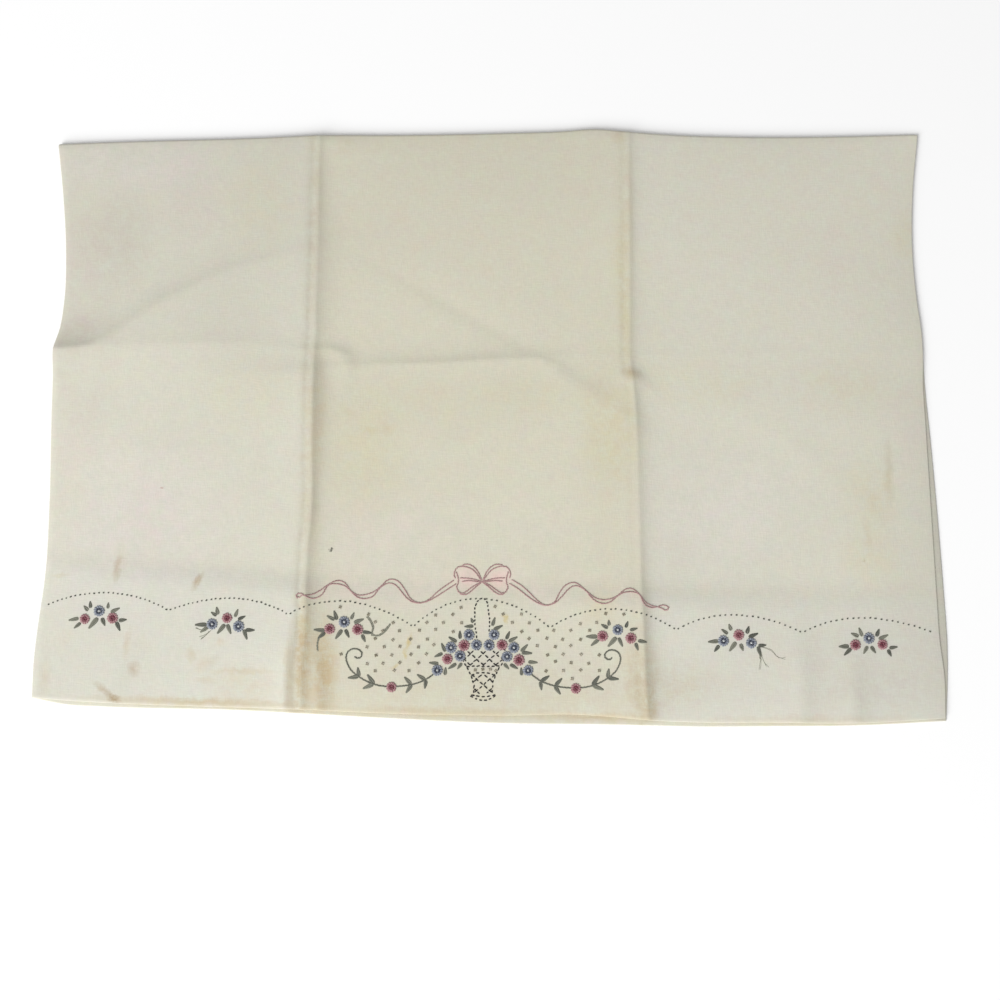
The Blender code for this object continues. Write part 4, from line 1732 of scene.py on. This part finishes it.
# The lower edge of the knotted ground, in mm, from the left vine's curl to the basket
GROUND_EDGE = ((-90, -140), (-86, -144), (-72, -153), (-58, -156.4), (-44, -154.4), (-33, -146))
GROUND_ENDS = (-92, 78)  # on the left and on the right, in mm
GROUND_EDGE_GAP = 0.7  # above its lower edge, in mm
SCALLOP_GAP = 2.4  # under the scalloped line, in mm
KNOT_PITCH = (10.0, 4.65)  # across and up, in mm; every second row stands half a pitch aside
KNOT_START = (-43.0, -155.5)  # the first row's knot in column 0, in mm
KNOT_COLUMNS = np.arange(-12, 13)
KNOT_ROWS = np.arange(14)
KNOT_STRAY = (0.5, 0.4)  # across and up, in mm
KNOT_RADIUS = 0.62 * MM
KNOT_CLEAR = 2.6 * MM  # from the stitches of the motifs
# What stays bare in the middle, in mm: to each side of the basket, up to a height over its
# flowers, and to each side of its handle
BOUQUET_REACH = 15
BOUQUET_TOP = -124
HANDLE_MIDDLE = -5.4
HANDLE_REACH = 6
BAND_KNOTS = ((-9.6, -150.4), (-5.2, -149.9), (-0.8, -150.0), (2.4, -150.9))  # round the basket


def knotted_ground(motifs):
    """The places of knots in staggered rows between the scallops and the vines, clear of the
    motifs, and of a few on the basket."""
    column_number, row_number = np.meshgrid(KNOT_COLUMNS, KNOT_ROWS)
    x = KNOT_START[0] + KNOT_PITCH[0] * (column_number + (row_number % 2) / 2)
    y = KNOT_START[1] + KNOT_PITCH[1] * row_number
    x = x.ravel() + hand.normal(0, KNOT_STRAY[0], x.size)
    y = y.ravel() + hand.normal(0, KNOT_STRAY[1], y.size)
    edge_x, edge_y = np.array(GROUND_EDGE).T
    folded = BASKET_MIDDLE - np.abs(x - BASKET_MIDDLE)
    inside = (x > GROUND_ENDS[0]) & (x < GROUND_ENDS[1])
    inside &= y < scallop_height(x) - SCALLOP_GAP
    inside &= y > np.interp(folded, edge_x, edge_y) + GROUND_EDGE_GAP
    inside &= (np.abs(x - BASKET_MIDDLE) > BOUQUET_REACH) | (y > BOUQUET_TOP)
    inside &= np.abs(x - HANDLE_MIDDLE) > HANDLE_REACH
    places = np.stack([x, y], axis=1)[inside] * MM
    sewn_places = np.concatenate([motifs.start, motifs.end])
    gaps = np.linalg.norm(places[:, None] - sewn_places, axis=2).min(axis=1)
    return np.concatenate([places[gaps > KNOT_CLEAR], np.array(BAND_KNOTS) * MM])


class LooseThread(NamedTuple):
    """An end of thread that lies on the cloth: a few places along it in mm, how many strands it
    has come apart into, how far they stray and how thick each is, in mm."""

    places: tuple
    strands: int
    stray: float
    thickness: float


LOOSE_THREADS = (
    LooseThread(((-72.4, -118.8), (-70.4, -122.6), (-69.4, -126.4), (-70.4, -129.4),
                 (-67.2, -130.2), (-62.0, -127.4), (-59.2, -122.6)), 4, 0.45, 0.55),
    LooseThread(((-100.4, -130.2), (-101.8, -134.6), (-101.2, -139.2)), 3, 0.35, 0.5),
    LooseThread(((156.4, -137.4), (157.4, -141.0), (156.8, -144.5)), 3, 0.4, 0.5),
    LooseThread(((157.2, -142.0), (157.4, -146.0), (156.4, -150.4)), 2, 0.5, 0.22),
    LooseThread(((157.8, -141.0), (159.4, -145.4), (161.2, -148.8)), 2, 0.4, 0.22),
    LooseThread(((158.4, -137.8), (164.2, -139.6), (167.4, -142.8), (172.2, -143.4)), 2, 0.5, 0.22),
    LooseThread(((-166.2, -126.0), (-170.4, -127.2), (-173.6, -125.6)), 2, 0.4, 0.3),
    LooseThread(((-164.8, -126.8), (-167.6, -130.0), (-170.8, -131.4)), 3, 0.6, 0.3),
)
LOOSE_STITCH = 2.4 * MM
LOOSE_PITCH = 2.0 * MM
LOOSE_TONE = 1.1


def loose_threads():
    """Ends of thread that have worked loose and lie on the cloth."""
    batches = []
    for thread in LOOSE_THREADS:
        places = np.array(thread.places)
        for _ in range(thread.strands):
            strayed = places + hand.normal(0, thread.stray, places.shape)
            width = thread.thickness * MM
            batches.append(stem_line(strayed, width, LOOSE_TONE, LOOSE_STITCH, LOOSE_PITCH))
    return together(batches)


# The darkest and the palest shade of each thread
PINK = ((0.34, 0.19, 0.19), (0.56, 0.37, 0.355))
GREY = ((0.07, 0.075, 0.06), (0.25, 0.25, 0.21))
BLACK = ((0.010, 0.009, 0.010), (0.06, 0.055, 0.055))
GREEN = ((0.070, 0.075, 0.062), (0.27, 0.27, 0.21))
BLUE = ((0.045, 0.056, 0.092), (0.30, 0.325, 0.375))
ROSE = ((0.18, 0.035, 0.055), (0.44, 0.245, 0.255))
TAN = ((0.28, 0.25, 0.18), (0.46, 0.42, 0.33))
PALE = ((0.66, 0.70, 0.72), (0.86, 0.88, 0.88))
TWIST = 0.9 * MM  # along a thread, from one turn of its strands to the next
STRANDS = 2  # seen side by side
# painted shade in the grooves between the strands
GROOVE_PAINTED_SHADE = (0.6, 0.6, 0.6, 1)
GROOVE_SHARE = 0.6  # how much of that painted shade a groove takes
GROOVE_DEPTH = 0.08 * MM
FADES = 160  # faded and darker places of a colour, a metre
FADING = 0.5


def floss(name, shades):
    """Stranded cotton floss: its shade is each stitch's own, and its strands wind round it as
    stripes that slant across the thread, with shade painted darker in their grooves."""
    material, shader, start = new_material(name, 0.5, sheen=0.15)
    tone = start.node("ShaderNodeAttribute", {"attribute_name": "tone"}, output=2)
    thread = start.node("ShaderNodeUVMap", {"uv_map": "thread"})
    turns = (part(thread, 0) / TWIST + part(thread, 1) * STRANDS) * (2 * np.pi)
    strand = start.node("ShaderNodeMath", {"operation": "SINE"}, {0: turns}) * 0.5 + 0.5
    place = start.node("ShaderNodeTexCoord", output=3)
    shade = tone + (noise(place, FADES) - 0.5) * FADING
    dark, pale = ((*colour, 1) for colour in shades)
    colour = mixed(shade.clamped(), dark, pale)
    # painted shade in the grooves between the strands
    colour = multiply((1 - strand) * GROOVE_SHARE, colour, GROOVE_PAINTED_SHADE)
    join_to(shader, "Base Color", colour)
    join_to(shader, "Normal", bump(strand, GROOVE_DEPTH))
    return material


def embroider():
    """All embroidery, one piece for each colour of thread."""
    ribbon_stitches, dots, basket_stitches = ribbon(), scallop_dots(), basket()
    leaves = together([sprig_leaves(), bouquet_leaves(), vines()])
    blossoms = [(centre, blue, petals(centre, blue)) for centre, blue in flowers()]
    blue_petals = [stitches for _, blue, stitches in blossoms if blue]
    rose_petals = [stitches for _, blue, stitches in blossoms if not blue]
    motifs = together([leaves, basket_stitches, *blue_petals, *rose_petals])
    ground = [knot(place, KNOT_RADIUS, hand.uniform(0, 1)) for place in knotted_ground(motifs)]
    middles = [centre for centre, blue, _ in blossoms if blue]
    eyes = [knot(centre, EYE_RADIUS, EYE_TONE, EYE_HEIGHT) for centre in middles]

    sew("ribbon_stitches", floss("pink_floss", PINK), [ribbon_stitches])
    sew("scallop_stitches", floss("grey_floss", GREY), [dots])
    sew("basket_stitches", floss("black_floss", BLACK), [basket_stitches])
    sew("leaf_stitches", floss("green_floss", GREEN), [leaves, loose_threads()])
    sew("blue_petals", floss("blue_floss", BLUE), blue_petals)
    sew("rose_petals", floss("rose_floss", ROSE), rose_petals)
    sew("ground_knots", floss("tan_floss", TAN), ground)
    sew("flower_eyes", floss("pale_floss", PALE), eyes)


# ---- Camera and light ----

CAMERA_TILT = np.radians(8)  # off straight down
CAMERA_PLACE = (4.97 * MM, -164.79 * MM, 822.86 * MM)


def make_camera():
    """The photograph's viewpoint: nearly straight above, leaning in from the hem."""
    data = bpy.data.cameras.new("camera")
    data.lens = 50
    data.sensor_width = 36
    camera = bpy.data.objects.new("camera", data)
    camera.location = CAMERA_PLACE
    camera.rotation_euler = (CAMERA_TILT, 0, 0)
    bpy.context.scene.collection.objects.link(camera)
    bpy.context.scene.camera = camera


class Lamp(NamedTuple):
    """A soft square light: its compass direction in degrees (0 is from the hem, 90 from the
    right), its height above the horizon in degrees, its distance and size in metres, and its
    power."""

    name: str
    direction: float
    elevation: float
    distance: float
    size: float
    power: float


WINDOW = Lamp("window", -40, 32, 6.0, 4.0, 462)
SKY = 0.48  # strength of the even light from all round


def make_lights():
    """A soft window, low and beyond the hem on its left, and even light from all round."""
    data = bpy.data.lights.new(WINDOW.name, "AREA")
    data.size = WINDOW.size
    data.energy = WINDOW.power
    light = bpy.data.objects.new(WINDOW.name, data)
    around_it, up = np.radians(WINDOW.direction), np.radians(WINDOW.elevation)
    away = (np.sin(around_it) * np.cos(up), -np.cos(around_it) * np.cos(up), np.sin(up))
    light.location = [WINDOW.distance * step for step in away]
    light.rotation_euler = (np.pi / 2 - up, 0, around_it)
    bpy.context.scene.collection.objects.link(light)

    world = bpy.data.worlds.new("studio")
    world.use_nodes = True
    world.node_tree.nodes["Background"].inputs["Color"].default_value = (1, 1, 1, 1)
    world.node_tree.nodes["Background"].inputs["Strength"].default_value = SKY
    bpy.context.scene.world = world
    bpy.context.scene.view_settings.view_transform = "Standard"


make_camera()
make_lights()
make_floor()
make_case(cotton())
embroider()
